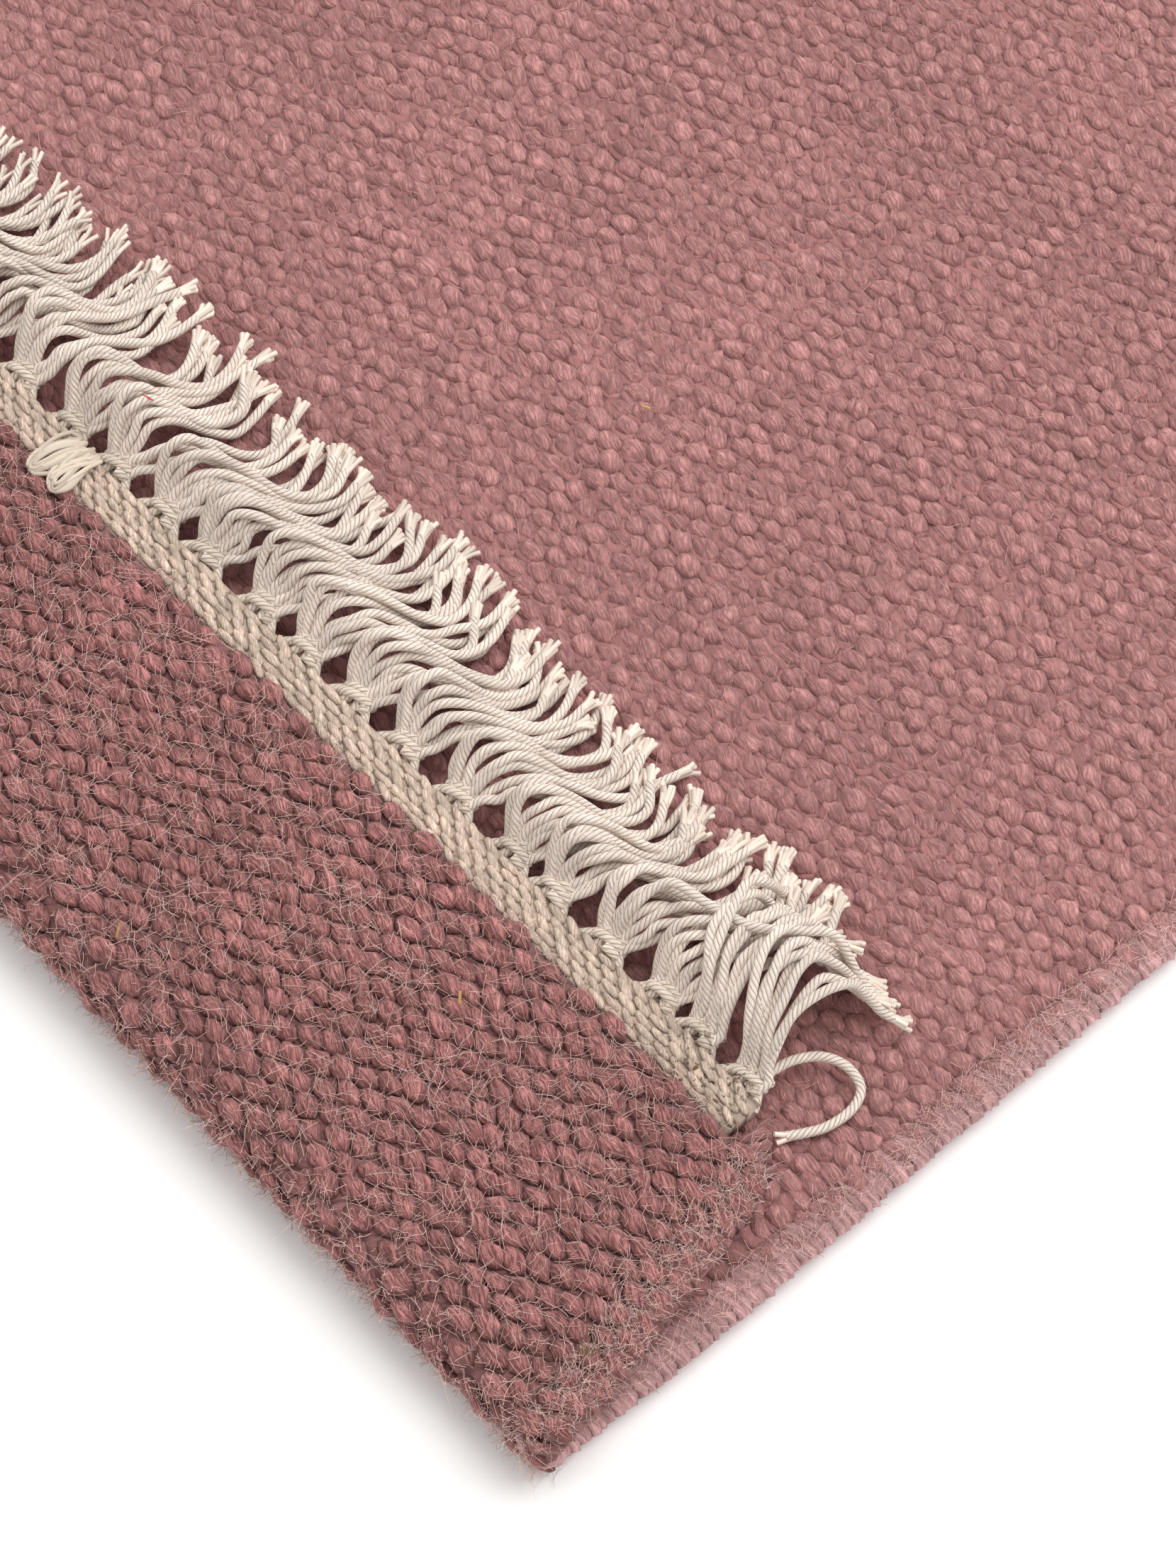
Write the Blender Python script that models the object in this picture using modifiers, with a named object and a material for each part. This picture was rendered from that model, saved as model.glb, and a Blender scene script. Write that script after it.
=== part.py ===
"""A small flat-woven wool rug whose near end is folded back over its own face.

Units are metres and +Z is up. X runs along the weft, across the rug, and Y along
the warp. The fold is at -Y, the far end at +Y, and the rug lies on the ground.
"""

from collections import namedtuple
import math
import random

import bmesh
import bpy
from mathutils import Vector

MM = 0.001

# Driving sizes of the cloth
HALF_WIDTH = 305 * MM
CLOTH_LENGTH = 900 * MM
CLOTH_THICKNESS = 6 * MM
PART_GAP = 0.3 * MM
SIDE_GAP = 0.8 * MM

# The fold
FOLD_RADIUS = 3.9 * MM
FOLD_STEPS = 12
FLAP_REACH = 69.5 * MM
FLAP_SKEW = 0.012
FLAP_SQUARE_AT = 216.5 * MM

# The wrapped selvedges, the cotton bands and the fringes
BINDING_RADIUS = 3 * MM
BAND_WIDTH = 8.2 * MM
BAND_THICKNESS = 4.4 * MM
FLAP_BAND_HALF = 278 * MM
FAR_BAND_HALF = 293 * MM
KNOT_COUNT = 46
KNOT_PITCH = 12.26 * MM
KNOT_SIZE = Vector((2.9, 2.2, 2.3)) * MM
KNOT_SIDES = 6
KNOT_TOP = 0.7
KNOT_OUT = 2.6 * MM
STRIP_SIDE = 2 * MM
LOCK_RADIUS = 1.2 * MM
LOCK_ROOT = 0.7
LOCK_SIDES_OF_KNOT = (-1, 1)
ROOT_SPREAD = 1.2 * MM
TIP_SHARE = 0.25
SPREAD_OVER = 14 * MM
RUG_REST = CLOTH_THICKNESS + PART_GAP + LOCK_RADIUS / 2
FLOOR_REST = LOCK_RADIUS / 2
FAR_LOCK_LENGTH = 40 * MM
FAR_TRIM = 6 * MM

# Rows of the lower layer, counted from the fold towards the far end
LowerRow = namedtuple("LowerRow", "from_fold half_width")
LOWER_ROWS = (
    LowerRow(0 * MM, HALF_WIDTH - 1 * MM),
    LowerRow(25 * MM, HALF_WIDTH),
    LowerRow(60 * MM, HALF_WIDTH),
    LowerRow(200 * MM, HALF_WIDTH),
    LowerRow(350 * MM, HALF_WIDTH),
    LowerRow(500 * MM, HALF_WIDTH),
    LowerRow(650 * MM, HALF_WIDTH),
    LowerRow(760 * MM, HALF_WIDTH),
    LowerRow(795 * MM, HALF_WIDTH - 1 * MM),
)
FAR_END_HALF_WIDTH = HALF_WIDTH - 3 * MM
FOLD_TOP_HALF_WIDTH = HALF_WIDTH - 1 * MM

# Rows of the flap: how far back it reaches, its middle's height and half its width
FlapRow = namedtuple("FlapRow", "reach height half_width")
FLAP_ROWS = (
    FlapRow(17 * MM, 10.7 * MM, HALF_WIDTH - 2 * MM),
    FlapRow(26 * MM, 10.4 * MM, HALF_WIDTH - 4.5 * MM),
    FlapRow(37 * MM, 10.0 * MM, HALF_WIDTH - 7 * MM),
    FlapRow(48 * MM, 9.8 * MM, HALF_WIDTH - 9 * MM),
    FlapRow(55 * MM, 9.7 * MM, HALF_WIDTH - 10.5 * MM),
    FlapRow(61 * MM, 9.6 * MM, HALF_WIDTH - 13 * MM),
)

# The selvedge's wrapping curls round the flap's corner in these last rows
HOOK_ROWS = (
    FlapRow(66 * MM, 9.6 * MM, HALF_WIDTH - 16.5 * MM),
    FlapRow(70 * MM, 9.5 * MM, HALF_WIDTH - 21 * MM),
)

# Where the knots stand at the photographed corner; the others keep an even step
CORNER_KNOTS_MM = (
    94.1, 107.6, 118.9, 131.2, 142.5, 156.4, 167.8, 180.4,
    192.7, 205.8, 219.8, 229.5, 242.6, 255.5, 264.9, 276.2,
)

# Rows of one lock of cords on the flap: out from its knot, height, and its way aside
ArchRow = namedtuple("ArchRow", "out height aside")
ARCH_ROWS = (
    ArchRow(0 * MM, 9.6 * MM, 0 * MM),
    ArchRow(2 * MM, 15.5 * MM, 0 * MM),
    ArchRow(5.5 * MM, 20.0 * MM, 0 * MM),
    ArchRow(9.5 * MM, 18.2 * MM, 2.5 * MM),
    ArchRow(14.5 * MM, 11.5 * MM, 7 * MM),
    ArchRow(18.5 * MM, 8.0 * MM, 10.5 * MM),
    ArchRow(23 * MM, RUG_REST, 14 * MM),
    ArchRow(29.5 * MM, RUG_REST, 15.6 * MM),
)
RESTING_ROWS = 2

# Rows of the sweep: across the rug, how much of its way aside a lock takes
SweepRow = namedtuple("SweepRow", "across share")
SWEEP_ROWS = (
    SweepRow(-300 * MM, 0.8),
    SweepRow(60 * MM, 0.7),
    SweepRow(94 * MM, 0.5),
    SweepRow(130 * MM, 0.85),
    SweepRow(160 * MM, 1.0),
    SweepRow(222 * MM, 0.95),
    SweepRow(245 * MM, 0.6),
    SweepRow(262 * MM, 0.3),
    SweepRow(300 * MM, -0.1),
)

# The one loose warp end that loops back at the photographed corner
LoopRow = namedtuple("LoopRow", "across out height")
LOOP_ROWS = (
    LoopRow(277.5 * MM, 0 * MM, 9.4 * MM),
    LoopRow(279.5 * MM, 7 * MM, 10.5 * MM),
    LoopRow(281.0 * MM, 14 * MM, 9.6 * MM),
    LoopRow(284.5 * MM, 17 * MM, 8.4 * MM),
    LoopRow(289.5 * MM, 16 * MM, 7.4 * MM),
    LoopRow(291.5 * MM, 10 * MM, RUG_REST),
    LoopRow(289.0 * MM, 4 * MM, RUG_REST),
    LoopRow(286.6 * MM, 1 * MM, RUG_REST),
)

# Places that follow from the sizes above
HALF_THICKNESS = CLOTH_THICKNESS / 2
BEND_OUT = FOLD_RADIUS + HALF_THICKNESS
LOWER_LENGTH = CLOTH_LENGTH - math.pi * FOLD_RADIUS - (FLAP_REACH - BEND_OUT)
TOTAL_LENGTH = BEND_OUT + LOWER_LENGTH + KNOT_OUT + FAR_LOCK_LENGTH
FRONT_Y = -TOTAL_LENGTH / 2
BEND_Y = FRONT_Y + BEND_OUT
FAR_BAND_END_Y = BEND_Y + LOWER_LENGTH
FAR_WOOL_END_Y = FAR_BAND_END_Y - BAND_WIDTH - PART_GAP

Section = namedtuple("Section", "y height half_width reach")


def clear_scene():
    """Removes whatever the scene starts with."""
    for obj in list(bpy.data.objects):
        bpy.data.objects.remove(obj, do_unlink=True)


def new_collection(name, shown=True):
    """A collection in the scene; one that isn't shown holds cutters and guides."""
    collection = bpy.data.collections.new(name)
    collection.hide_render = not shown
    bpy.context.scene.collection.children.link(collection)
    return collection


def new_material(name, colour, roughness):
    """A Principled BSDF of one colour and roughness, not metallic."""
    material = bpy.data.materials.new(name)
    material.use_nodes = True
    shader = material.node_tree.nodes["Principled BSDF"]
    shader.inputs["Base Color"].default_value = (*colour, 1.0)
    shader.inputs["Roughness"].default_value = roughness
    shader.inputs["Metallic"].default_value = 0.0
    return material


def between(rows, key, value, at):
    """The value that rows give at a place, on straight lines between the rows."""
    for low, high in zip(rows, rows[1:]):
        start, end = getattr(low, key), getattr(high, key)
        if at <= end:
            share = max(0.0, (at - start) / (end - start))
            return (1 - share) * getattr(low, value) + share * getattr(high, value)
    return getattr(rows[-1], value)


def skewed_y(x, section):
    """The flap wasn't folded quite square, so its far points lean with x."""
    lean = FLAP_SKEW * (x - FLAP_SQUARE_AT) * section.reach / FLAP_REACH
    return section.y + lean


def flap_sections(rows):
    """Sections of the flap from its own rows."""
    return [Section(FRONT_Y + r.reach, r.height, r.half_width, r.reach) for r in rows]


def cloth_sections():
    """Sections along the wool from the far end, round the fold, to the flap's end."""
    sections = [Section(FAR_WOOL_END_Y, HALF_THICKNESS, FAR_END_HALF_WIDTH, 0)]
    for row in reversed(LOWER_ROWS):
        y = BEND_Y + row.from_fold
        sections.append(Section(y, HALF_THICKNESS, row.half_width, 0))
    start_width = LOWER_ROWS[0].half_width
    for step in range(1, FOLD_STEPS + 1):
        share = step / FOLD_STEPS
        angle = math.pi * share
        y = BEND_Y - FOLD_RADIUS * math.sin(angle)
        height = HALF_THICKNESS + FOLD_RADIUS * (1 - math.cos(angle))
        half_width = start_width + share * (FOLD_TOP_HALF_WIDTH - start_width)
        sections.append(Section(y, height, half_width, 0))
    return sections + flap_sections(FLAP_ROWS)


def add_sheet(name, sections, columns, edge_inset, thickness, material, collection):
    """An open grid laid through the sections and given its thickness by Solidify."""
    bm = bmesh.new()
    last = len(sections) - 1
    bmesh.ops.create_grid(bm, x_segments=columns, y_segments=last, size=0.5)
    for vert in bm.verts:
        section = sections[round((vert.co.y + 0.5) * last)]
        x = 2 * vert.co.x * (section.half_width - edge_inset)
        vert.co = (x, skewed_y(x, section), section.height)
    mesh = bpy.data.meshes.new(name)
    bm.to_mesh(mesh)
    bm.free()
    mesh.shade_smooth()
    mesh.materials.append(material)
    sheet = bpy.data.objects.new(name, mesh)
    collection.objects.link(sheet)
    solidify = sheet.modifiers.new("cloth thickness", "SOLIDIFY")
    solidify.thickness = thickness
    solidify.offset = 0
    solidify.use_even_offset = True
    return sheet


def add_wool_cloth(material, collection):
    """The woven wool in one piece: lower layer, fold and flap."""
    inset = 2 * BINDING_RADIUS + SIDE_GAP
    columns = 12
    return add_sheet(
        "wool_cloth", cloth_sections(), columns, inset, CLOTH_THICKNESS, material, collection
    )


def add_band(name, sections, material, collection):
    """A cotton end band, which continues the cloth on the same warps."""
    columns = 12
    return add_sheet(name, sections, columns, 0, BAND_THICKNESS, material, collection)


def flap_band_sections():
    """The band on the flap, a little lower than the wool that it follows."""
    inner = FLAP_REACH - BAND_WIDTH
    outer = FLAP_REACH
    height = FLAP_ROWS[-1].height - 0.2 * MM
    return [
        Section(FRONT_Y + inner, height, FLAP_BAND_HALF, inner),
        Section(FRONT_Y + outer, height, FLAP_BAND_HALF, outer),
    ]


def far_band_sections():
    """The band at the far end, flat on the ground."""
    height = BAND_THICKNESS / 2
    return [
        Section(FAR_BAND_END_Y, height, FAR_BAND_HALF, 0),
        Section(FAR_BAND_END_Y - BAND_WIDTH, height, FAR_BAND_HALF, 0),
    ]


def add_binding(name, side, material, collection):
    """The selvedge, wrapped in wool: a round tube that follows the cloth's edge."""
    far_end = Section(FAR_BAND_END_Y - 3 * MM, HALF_THICKNESS, FAR_END_HALF_WIDTH, 0)
    hook = flap_sections(HOOK_ROWS)
    curve = bpy.data.curves.new(name, "CURVE")
    curve.dimensions = "3D"
    curve.bevel_depth = BINDING_RADIUS
    curve.bevel_resolution = 2
    curve.use_fill_caps = True
    curve.materials.append(material)
    sections = [far_end, *cloth_sections(), *hook]
    spline = curve.splines.new("POLY")
    spline.points.add(len(sections) - 1)
    for point, section in zip(spline.points, sections):
        edge = section.half_width
        x = side * (edge - BINDING_RADIUS)
        point.co = (x, skewed_y(side * edge, section), section.height, 1)
    binding = bpy.data.objects.new(name, curve)
    collection.objects.link(binding)
    return binding


def lock_section(guides):
    """The three-sided outline of a lock, with its flat side down."""
    curve = bpy.data.curves.new("lock outline", "CURVE")
    curve.dimensions = "2D"
    spline = curve.splines.new("POLY")
    spline.points.add(2)
    for index, point in enumerate(spline.points):
        angle = math.radians(90 + 120 * index)
        point.co = (LOCK_RADIUS * math.cos(angle), LOCK_RADIUS * math.sin(angle), 0, 1)
    spline.use_cyclic_u = True
    outline = bpy.data.objects.new("lock outline", curve)
    outline.hide_render = True
    guides.objects.link(outline)
    return outline


def flap_knots():
    """Where the flap's knots stand: evenly, then as they came at the far corner."""
    corner = [x * MM for x in CORNER_KNOTS_MM]
    even = KNOT_COUNT - len(corner)
    return [corner[0] - (even - k) * KNOT_PITCH for k in range(even)] + corner


def far_knots():
    """Where the far knots stand across the rug, each a little off its even place."""
    dice = random.Random(5)
    first = -(KNOT_COUNT - 1) / 2 * KNOT_PITCH
    slack = 0.5 * MM
    return [first + k * KNOT_PITCH + dice.uniform(-slack, slack) for k in range(KNOT_COUNT)]


def swept_x(x, out):
    """Where a bunch's middle has come to across the rug, out from its knot."""
    share = between(SWEEP_ROWS, "across", "share", x)
    return x + share * between(ARCH_ROWS, "out", "aside", out)


def spread(knots, index, out):
    """Half the way between a bunch's two locks, so that bunches stay apart."""
    here = swept_x(knots[index], out)
    beside = [knots[k] for k in (index - 1, index + 1) if 0 <= k < len(knots)]
    room = min(abs(swept_x(x, out) - here) for x in beside)
    share = min(1.0, out / SPREAD_OVER)
    return ROOT_SPREAD + share * (TIP_SHARE * room - ROOT_SPREAD)


def flap_locks(y_of):
    """Locks that rise from the flap's knots, lean over and land on the rug."""
    dice = random.Random(11)
    knots = flap_knots()
    routes = []
    for number, knot_x in enumerate(knots):
        lift = dice.uniform(0.94, 1.06)
        length = dice.uniform(0.94, 1.04)
        for side in LOCK_SIDES_OF_KNOT:
            route = []
            for index, row in enumerate(ARCH_ROWS):
                out = row.out * length
                x = swept_x(knot_x, out) + side * spread(knots, number, out)
                rise = lift if 0 < index < len(ARCH_ROWS) - RESTING_ROWS else 1.0
                route.append(Vector((x, y_of(knot_x) + out, row.height * rise)))
            routes.append(route)
    loop = [Vector((r.across, y_of(r.across) + r.out, r.height)) for r in LOOP_ROWS]
    return [*routes, loop]


def far_locks(y_of):
    """Locks that lie straight out on the ground from the far knots."""
    dice = random.Random(23)
    knots = far_knots()
    tip_spread = TIP_SHARE * KNOT_PITCH
    routes = []
    for knot_x in knots:
        lean = dice.uniform(-1.5, 1.5) * MM
        trim = 0 if knot_x == knots[0] else dice.uniform(0, FAR_TRIM)
        for side in LOCK_SIDES_OF_KNOT:
            root = Vector((knot_x + side * ROOT_SPREAD, y_of(knot_x), KNOT_SIZE.z))
            middle = Vector((knot_x + side * tip_spread, y_of(knot_x) + 8 * MM, FLOOR_REST))
            end = y_of(knot_x) + FAR_LOCK_LENGTH - trim
            routes.append([root, middle, Vector((middle.x + lean, end, FLOOR_REST))])
    return routes


def locks_mesh(name, routes, outline):
    """The locks swept as one curve object, made a mesh with its caps welded."""
    curve = bpy.data.curves.new(name, "CURVE")
    curve.dimensions = "3D"
    curve.twist_mode = "Z_UP"
    curve.bevel_mode = "OBJECT"
    curve.bevel_object = outline
    curve.use_fill_caps = True
    for route in routes:
        spline = curve.splines.new("POLY")
        spline.points.add(len(route) - 1)
        for index, (point, place) in enumerate(zip(spline.points, route)):
            point.co = (*place, 1)
            point.radius = LOCK_ROOT if index == 0 else 1.0
    swept = bpy.data.objects.new(name, curve)
    bpy.context.scene.collection.objects.link(swept)
    graph = bpy.context.evaluated_depsgraph_get()
    mesh = bpy.data.meshes.new_from_object(swept.evaluated_get(graph))
    bpy.data.objects.remove(swept)
    bm = bmesh.new()
    bm.from_mesh(mesh)
    bmesh.ops.remove_doubles(bm, verts=bm.verts, dist=0.01 * MM)
    bmesh.ops.recalc_face_normals(bm, faces=bm.faces)
    bm.to_mesh(mesh)
    bm.free()
    return mesh


def knots_mesh(name, knots, y_of, height):
    """One small lump for each knot, narrower at its top, all in one mesh."""
    bm = bmesh.new()
    for knot_x in knots:
        lump = bmesh.ops.create_cone(
            bm, cap_ends=True, segments=KNOT_SIDES, radius1=1, radius2=KNOT_TOP, depth=2
        )
        for vert in lump["verts"]:
            vert.co = Vector(a * b for a, b in zip(vert.co, KNOT_SIZE))
            vert.co += Vector((knot_x, y_of(knot_x), height))
    mesh = bpy.data.meshes.new(name)
    bm.to_mesh(mesh)
    bm.free()
    return mesh


def strip_mesh(name, half_length, edge_of, height):
    """The narrow strip that the knots share, just clear of the band's edge."""
    bm = bmesh.new()
    bmesh.ops.create_cube(bm, size=1)
    for vert in bm.verts:
        x = 2 * vert.co.x * half_length
        y = edge_of(x) + PART_GAP + (vert.co.y + 0.5) * STRIP_SIDE
        vert.co = (x, y, height + vert.co.z * STRIP_SIDE)
    mesh = bpy.data.meshes.new(name)
    bm.to_mesh(mesh)
    bm.free()
    return mesh


def add_fringe(name, edge_of, height, knots, routes, outline, material, collection):
    """A fringe in one solid: its strip, with the knots and locks joined to it."""
    joined = new_collection(name + " joined pieces", shown=False)

    def y_of(x):
        return edge_of(x) + KNOT_OUT

    for mesh in (
        knots_mesh(name + " knots", knots, y_of, height),
        locks_mesh(name + " locks", routes(y_of), outline),
    ):
        piece = bpy.data.objects.new(mesh.name, mesh)
        piece.hide_render = True
        piece.display_type = "WIRE"
        joined.objects.link(piece)
    half_length = (KNOT_COUNT - 1) / 2 * KNOT_PITCH
    fringe = bpy.data.objects.new(name, strip_mesh(name, half_length, edge_of, height))
    fringe.data.materials.append(material)
    collection.objects.link(fringe)
    union = fringe.modifiers.new("join", "BOOLEAN")
    union.operation = "UNION"
    union.operand_type = "COLLECTION"
    union.collection = joined
    return fringe


def flap_edge_y(x):
    """The band's outer edge on the flap."""
    return skewed_y(x, flap_band_sections()[-1])


def far_edge_y(_x):
    """The band's outer edge at the far end."""
    return FAR_BAND_END_Y


def main():
    clear_scene()
    rug = new_collection("wool rug")
    guides = new_collection("guides", shown=False)
    wool = new_material("dusty pink wool", (0.34, 0.135, 0.135), 0.95)
    wrap = new_material("paler wrapping wool", (0.42, 0.19, 0.21), 0.95)
    cotton = new_material("undyed cotton", (0.66, 0.59, 0.47), 0.9)
    add_wool_cloth(wool, rug)
    add_binding("selvedge_right", 1, wrap, rug)
    add_binding("selvedge_left", -1, wrap, rug)
    add_band("band_flap", flap_band_sections(), cotton, rug)
    add_band("band_far", far_band_sections(), cotton, rug)
    outline = lock_section(guides)
    flap_height = FLAP_ROWS[-1].height
    far_height = KNOT_SIZE.z
    add_fringe(
        "fringe_flap", flap_edge_y, flap_height, flap_knots(), flap_locks, outline, cotton, rug
    )
    add_fringe(
        "fringe_far", far_edge_y, far_height, far_knots(), far_locks, outline, cotton, rug
    )


main()
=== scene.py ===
# %% [markdown]
# # A folded wool rug, dressed yarn by yarn
#
# The rug lies on the ground with its near end folded back over its own face.
# Its solids are smooth slabs, tubes and three-sided locks. This lesson dresses
# them as the weaver made them: wool weft beads, wrapped selvedges, cotton end
# bands, knots and twisted cords. The corner that the camera sees is built
# yarn by yarn, and the rest of the cloth carries the same weave as bump.

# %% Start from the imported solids
import math
import random
from collections import namedtuple

import bmesh
import bpy
from mathutils import Matrix, Vector


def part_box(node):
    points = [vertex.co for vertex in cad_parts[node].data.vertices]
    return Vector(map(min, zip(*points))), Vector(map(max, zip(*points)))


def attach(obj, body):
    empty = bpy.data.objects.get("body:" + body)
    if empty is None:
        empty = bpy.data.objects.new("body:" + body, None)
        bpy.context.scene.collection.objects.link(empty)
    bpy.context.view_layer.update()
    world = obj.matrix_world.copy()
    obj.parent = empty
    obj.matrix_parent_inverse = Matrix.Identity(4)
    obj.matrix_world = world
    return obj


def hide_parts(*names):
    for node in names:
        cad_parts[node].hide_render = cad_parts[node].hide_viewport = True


MM = 0.001
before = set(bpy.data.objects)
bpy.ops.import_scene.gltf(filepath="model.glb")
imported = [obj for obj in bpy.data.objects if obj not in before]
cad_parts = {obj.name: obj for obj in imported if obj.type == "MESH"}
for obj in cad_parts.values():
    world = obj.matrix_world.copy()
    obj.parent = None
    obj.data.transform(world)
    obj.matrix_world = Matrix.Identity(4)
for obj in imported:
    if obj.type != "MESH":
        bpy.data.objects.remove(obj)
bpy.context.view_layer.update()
scene = bpy.context.scene
print("solids:", sorted(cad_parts))

# %% [markdown]
# ## Camera
#
# The photograph looks down on one corner from quite near. Parallel lines of
# the weave hardly meet in it, so the lens is a long one. The camera's own
# right and up directions give its turn exactly, with a small roll.

# %% Camera
EYE = Vector((0.5093, -0.7202, 0.8523))
PICTURE_RIGHT = Vector((0.68076, 0.72736, 0.08668))
PICTURE_UP = Vector((-0.66755, 0.56731, 0.48222))
camera_data = bpy.data.cameras.new("corner camera")
camera_data.lens = 130.5
camera_data.sensor_width = 36
camera_data.clip_start = 0.05
camera = bpy.data.objects.new("corner camera", camera_data)
scene.collection.objects.link(camera)
turn = Matrix((PICTURE_RIGHT, PICTURE_UP, PICTURE_RIGHT.cross(PICTURE_UP))).transposed()
camera.matrix_world = Matrix.Translation(EYE) @ turn.to_4x4()
scene.camera = camera
print("camera stands", round(EYE.length, 3), "m from the rug's middle")

# %% [markdown]
# ## Light and floor
#
# The rug lies on a white sweep under a wide soft light, so shadows are short
# and hug the fold. One large lamp above and a little behind gives the yarns
# their modelling. A weak lamp in front and a white world fill in.

# %% Light and floor
scene.view_settings.view_transform = "Standard"
world = bpy.data.worlds.new("studio")
world.use_nodes = True
sky = world.node_tree.nodes["Background"].inputs
sky["Color"].default_value = (1.0, 0.985, 0.97, 1)
sky["Strength"].default_value = 0.78
scene.world = world

Lamp = namedtuple("Lamp", "name place aim side watts")
LAMPS = (
    Lamp("overhead softbox", (0.35, 0.5, 1.5), (0.2, -0.3, 0), 1.5, 22),
    Lamp("near fill", (-0.9, -1.3, 1.2), (0.2, -0.35, 0), 1.2, 4),
)
for lamp in LAMPS:
    light = bpy.data.lights.new(lamp.name, "AREA")
    light.size = lamp.side
    light.energy = lamp.watts
    bulb = bpy.data.objects.new(lamp.name, light)
    bulb.location = lamp.place
    away = Vector(lamp.place) - Vector(lamp.aim)
    bulb.rotation_euler = away.to_track_quat("Z", "Y").to_euler()
    scene.collection.objects.link(bulb)

bpy.ops.mesh.primitive_plane_add(size=8, location=(0, 0, -0.0004))
floor = bpy.context.object
floor.name = "floor"
paper = bpy.data.materials.new("white sweep")
paper.use_nodes = True
sheet = paper.node_tree.nodes["Principled BSDF"].inputs
sheet["Base Color"].default_value = (0.93, 0.93, 0.925, 1)
sheet["Roughness"].default_value = 0.8
floor.data.materials.append(paper)
print("lamps:", [lamp.name for lamp in LAMPS])

# %% [markdown]
# ## A short way to write node trees
#
# Geometry Nodes and shaders are both trees of nodes. This helper adds one
# node a call and joins what it is given. Arithmetic with what comes out adds
# nodes too, so a tree reads like a formula.

# %% Node helper
SHADER, GEOMETRY = "ShaderNodeTree", "GeometryNodeTree"


class Flow:
    """What comes out of a node. Arithmetic with it adds the nodes that work it out."""

    def __init__(self, w, socket):
        self.w = w
        self.socket = socket

    def __getitem__(self, name):
        return Flow(self.w, self.socket.node.outputs[name])

    def __add__(self, other):
        return self.w.worked("ADD", self, other)

    def __sub__(self, other):
        return self.w.worked("SUBTRACT", self, other)

    def __rsub__(self, other):
        return self.w.worked("SUBTRACT", other, self)

    def __mul__(self, other):
        return self.w.worked("MULTIPLY", self, other)

    def __truediv__(self, other):
        return self.w.worked("DIVIDE", self, other)


class Wiring:
    """Adds nodes to a tree, sets or joins their inputs, and hands back what comes out."""

    def __init__(self, tree, given=None, result=None):
        self.tree = tree
        self.given = given
        self.result = result

    def __getitem__(self, name):
        return Flow(self, self.given[name])

    def give(self, **values):
        for name, value in values.items():
            self.tree.links.new(value.socket, self.result[name.replace("_", " ")])

    def add(self, kind, *values, out=0, named=None, **settings):
        node = self.tree.nodes.new(kind)
        for key, value in settings.items():
            setattr(node, key, value)
        for key, value in [*enumerate(values), *(named or {}).items()]:
            if isinstance(value, Flow):
                self.tree.links.new(value.socket, node.inputs[key])
            elif value is not None:
                node.inputs[key].default_value = value
        return Flow(self, node.outputs[out])

    def geo(self, kind, *values, **options):
        return self.add("GeometryNode" + kind, *values, **options)

    def math(self, operation, *values):
        return self.add("ShaderNodeMath", *values, operation=operation)

    def vector(self, operation, *values):
        return self.add("ShaderNodeVectorMath", *values, operation=operation)

    def worked(self, operation, one, other):
        """Arithmetic on numbers or on vectors; a vector times a number is scaled."""
        flows = [value for value in (one, other) if isinstance(value, Flow)]
        if not any(flow.socket.type in ("VECTOR", "RGBA") for flow in flows):
            return self.math(operation, one, other)
        if operation == "MULTIPLY":
            return self.vector("SCALE", one, None, None, other)
        return self.vector(operation, one, other)

    def joined(self, x=0.0, y=0.0, z=0.0):
        return self.add("ShaderNodeCombineXYZ", x, y, z)

    def parts(self, vector):
        apart = self.add("ShaderNodeSeparateXYZ", vector)
        return [apart[name] for name in "XYZ"]

    def noise(self, vector, scale=5.0, detail=2.0):
        named = {"Vector": vector, "Scale": scale, "Detail": detail}
        return self.add("ShaderNodeTexNoise", named=named)

    def ramp(self, value, low, high, start=0.0, end=1.0):
        named = {"Value": value, "From Min": low, "From Max": high, "To Min": start, "To Max": end}
        return self.add("ShaderNodeMapRange", named=named, interpolation_type="SMOOTHSTEP")

    def group(self, tree, **inputs):
        kind = "GeometryNodeGroup" if tree.bl_idname == GEOMETRY else "ShaderNodeGroup"
        named = {key.replace("_", " "): value for key, value in inputs.items()}
        return self.add(kind, node_tree=tree, named=named)

# %% Trees, pieces and guides
MESH_OUT = {"geometry": "Geometry"}


def new_group(name, kind, inputs, outputs=MESH_OUT):
    """The wiring of a new node tree, whose sockets are listed by their sort."""
    tree = bpy.data.node_groups.new(name, kind)
    for direction, sockets in (("INPUT", inputs), ("OUTPUT", outputs)):
        for sort, names in sockets.items():
            socket_type = f"NodeSocket{sort.capitalize()}"
            for socket_name in names.split(", "):
                tree.interface.new_socket(socket_name, in_out=direction, socket_type=socket_type)
    given = tree.nodes.new("NodeGroupInput").outputs
    return Wiring(tree, given, tree.nodes.new("NodeGroupOutput").inputs)


def made_by(tree, name, **inputs):
    """Runs a Geometry Nodes tree once and keeps what it makes as a plain mesh."""
    piece = bpy.data.objects.new(name, bpy.data.meshes.new(name + " start"))
    scene.collection.objects.link(piece)
    modifier = piece.modifiers.new(tree.name, "NODES")
    modifier.node_group = tree
    for item in tree.interface.items_tree:
        key = item.name.lower().replace(" ", "_")
        if item.in_out == "INPUT" and key in inputs:
            modifier[item.identifier] = inputs[key]
    graph = bpy.context.evaluated_depsgraph_get()
    evaluated = piece.evaluated_get(graph)
    mesh = bpy.data.meshes.new_from_object(evaluated, preserve_all_data_layers=True, depsgraph=graph)
    piece.modifiers.clear()
    piece.data = mesh
    mesh.name = name
    triangles = sum(len(face.vertices) - 2 for face in mesh.polygons)
    print(f"{name}: {triangles} triangles")
    return piece


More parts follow.
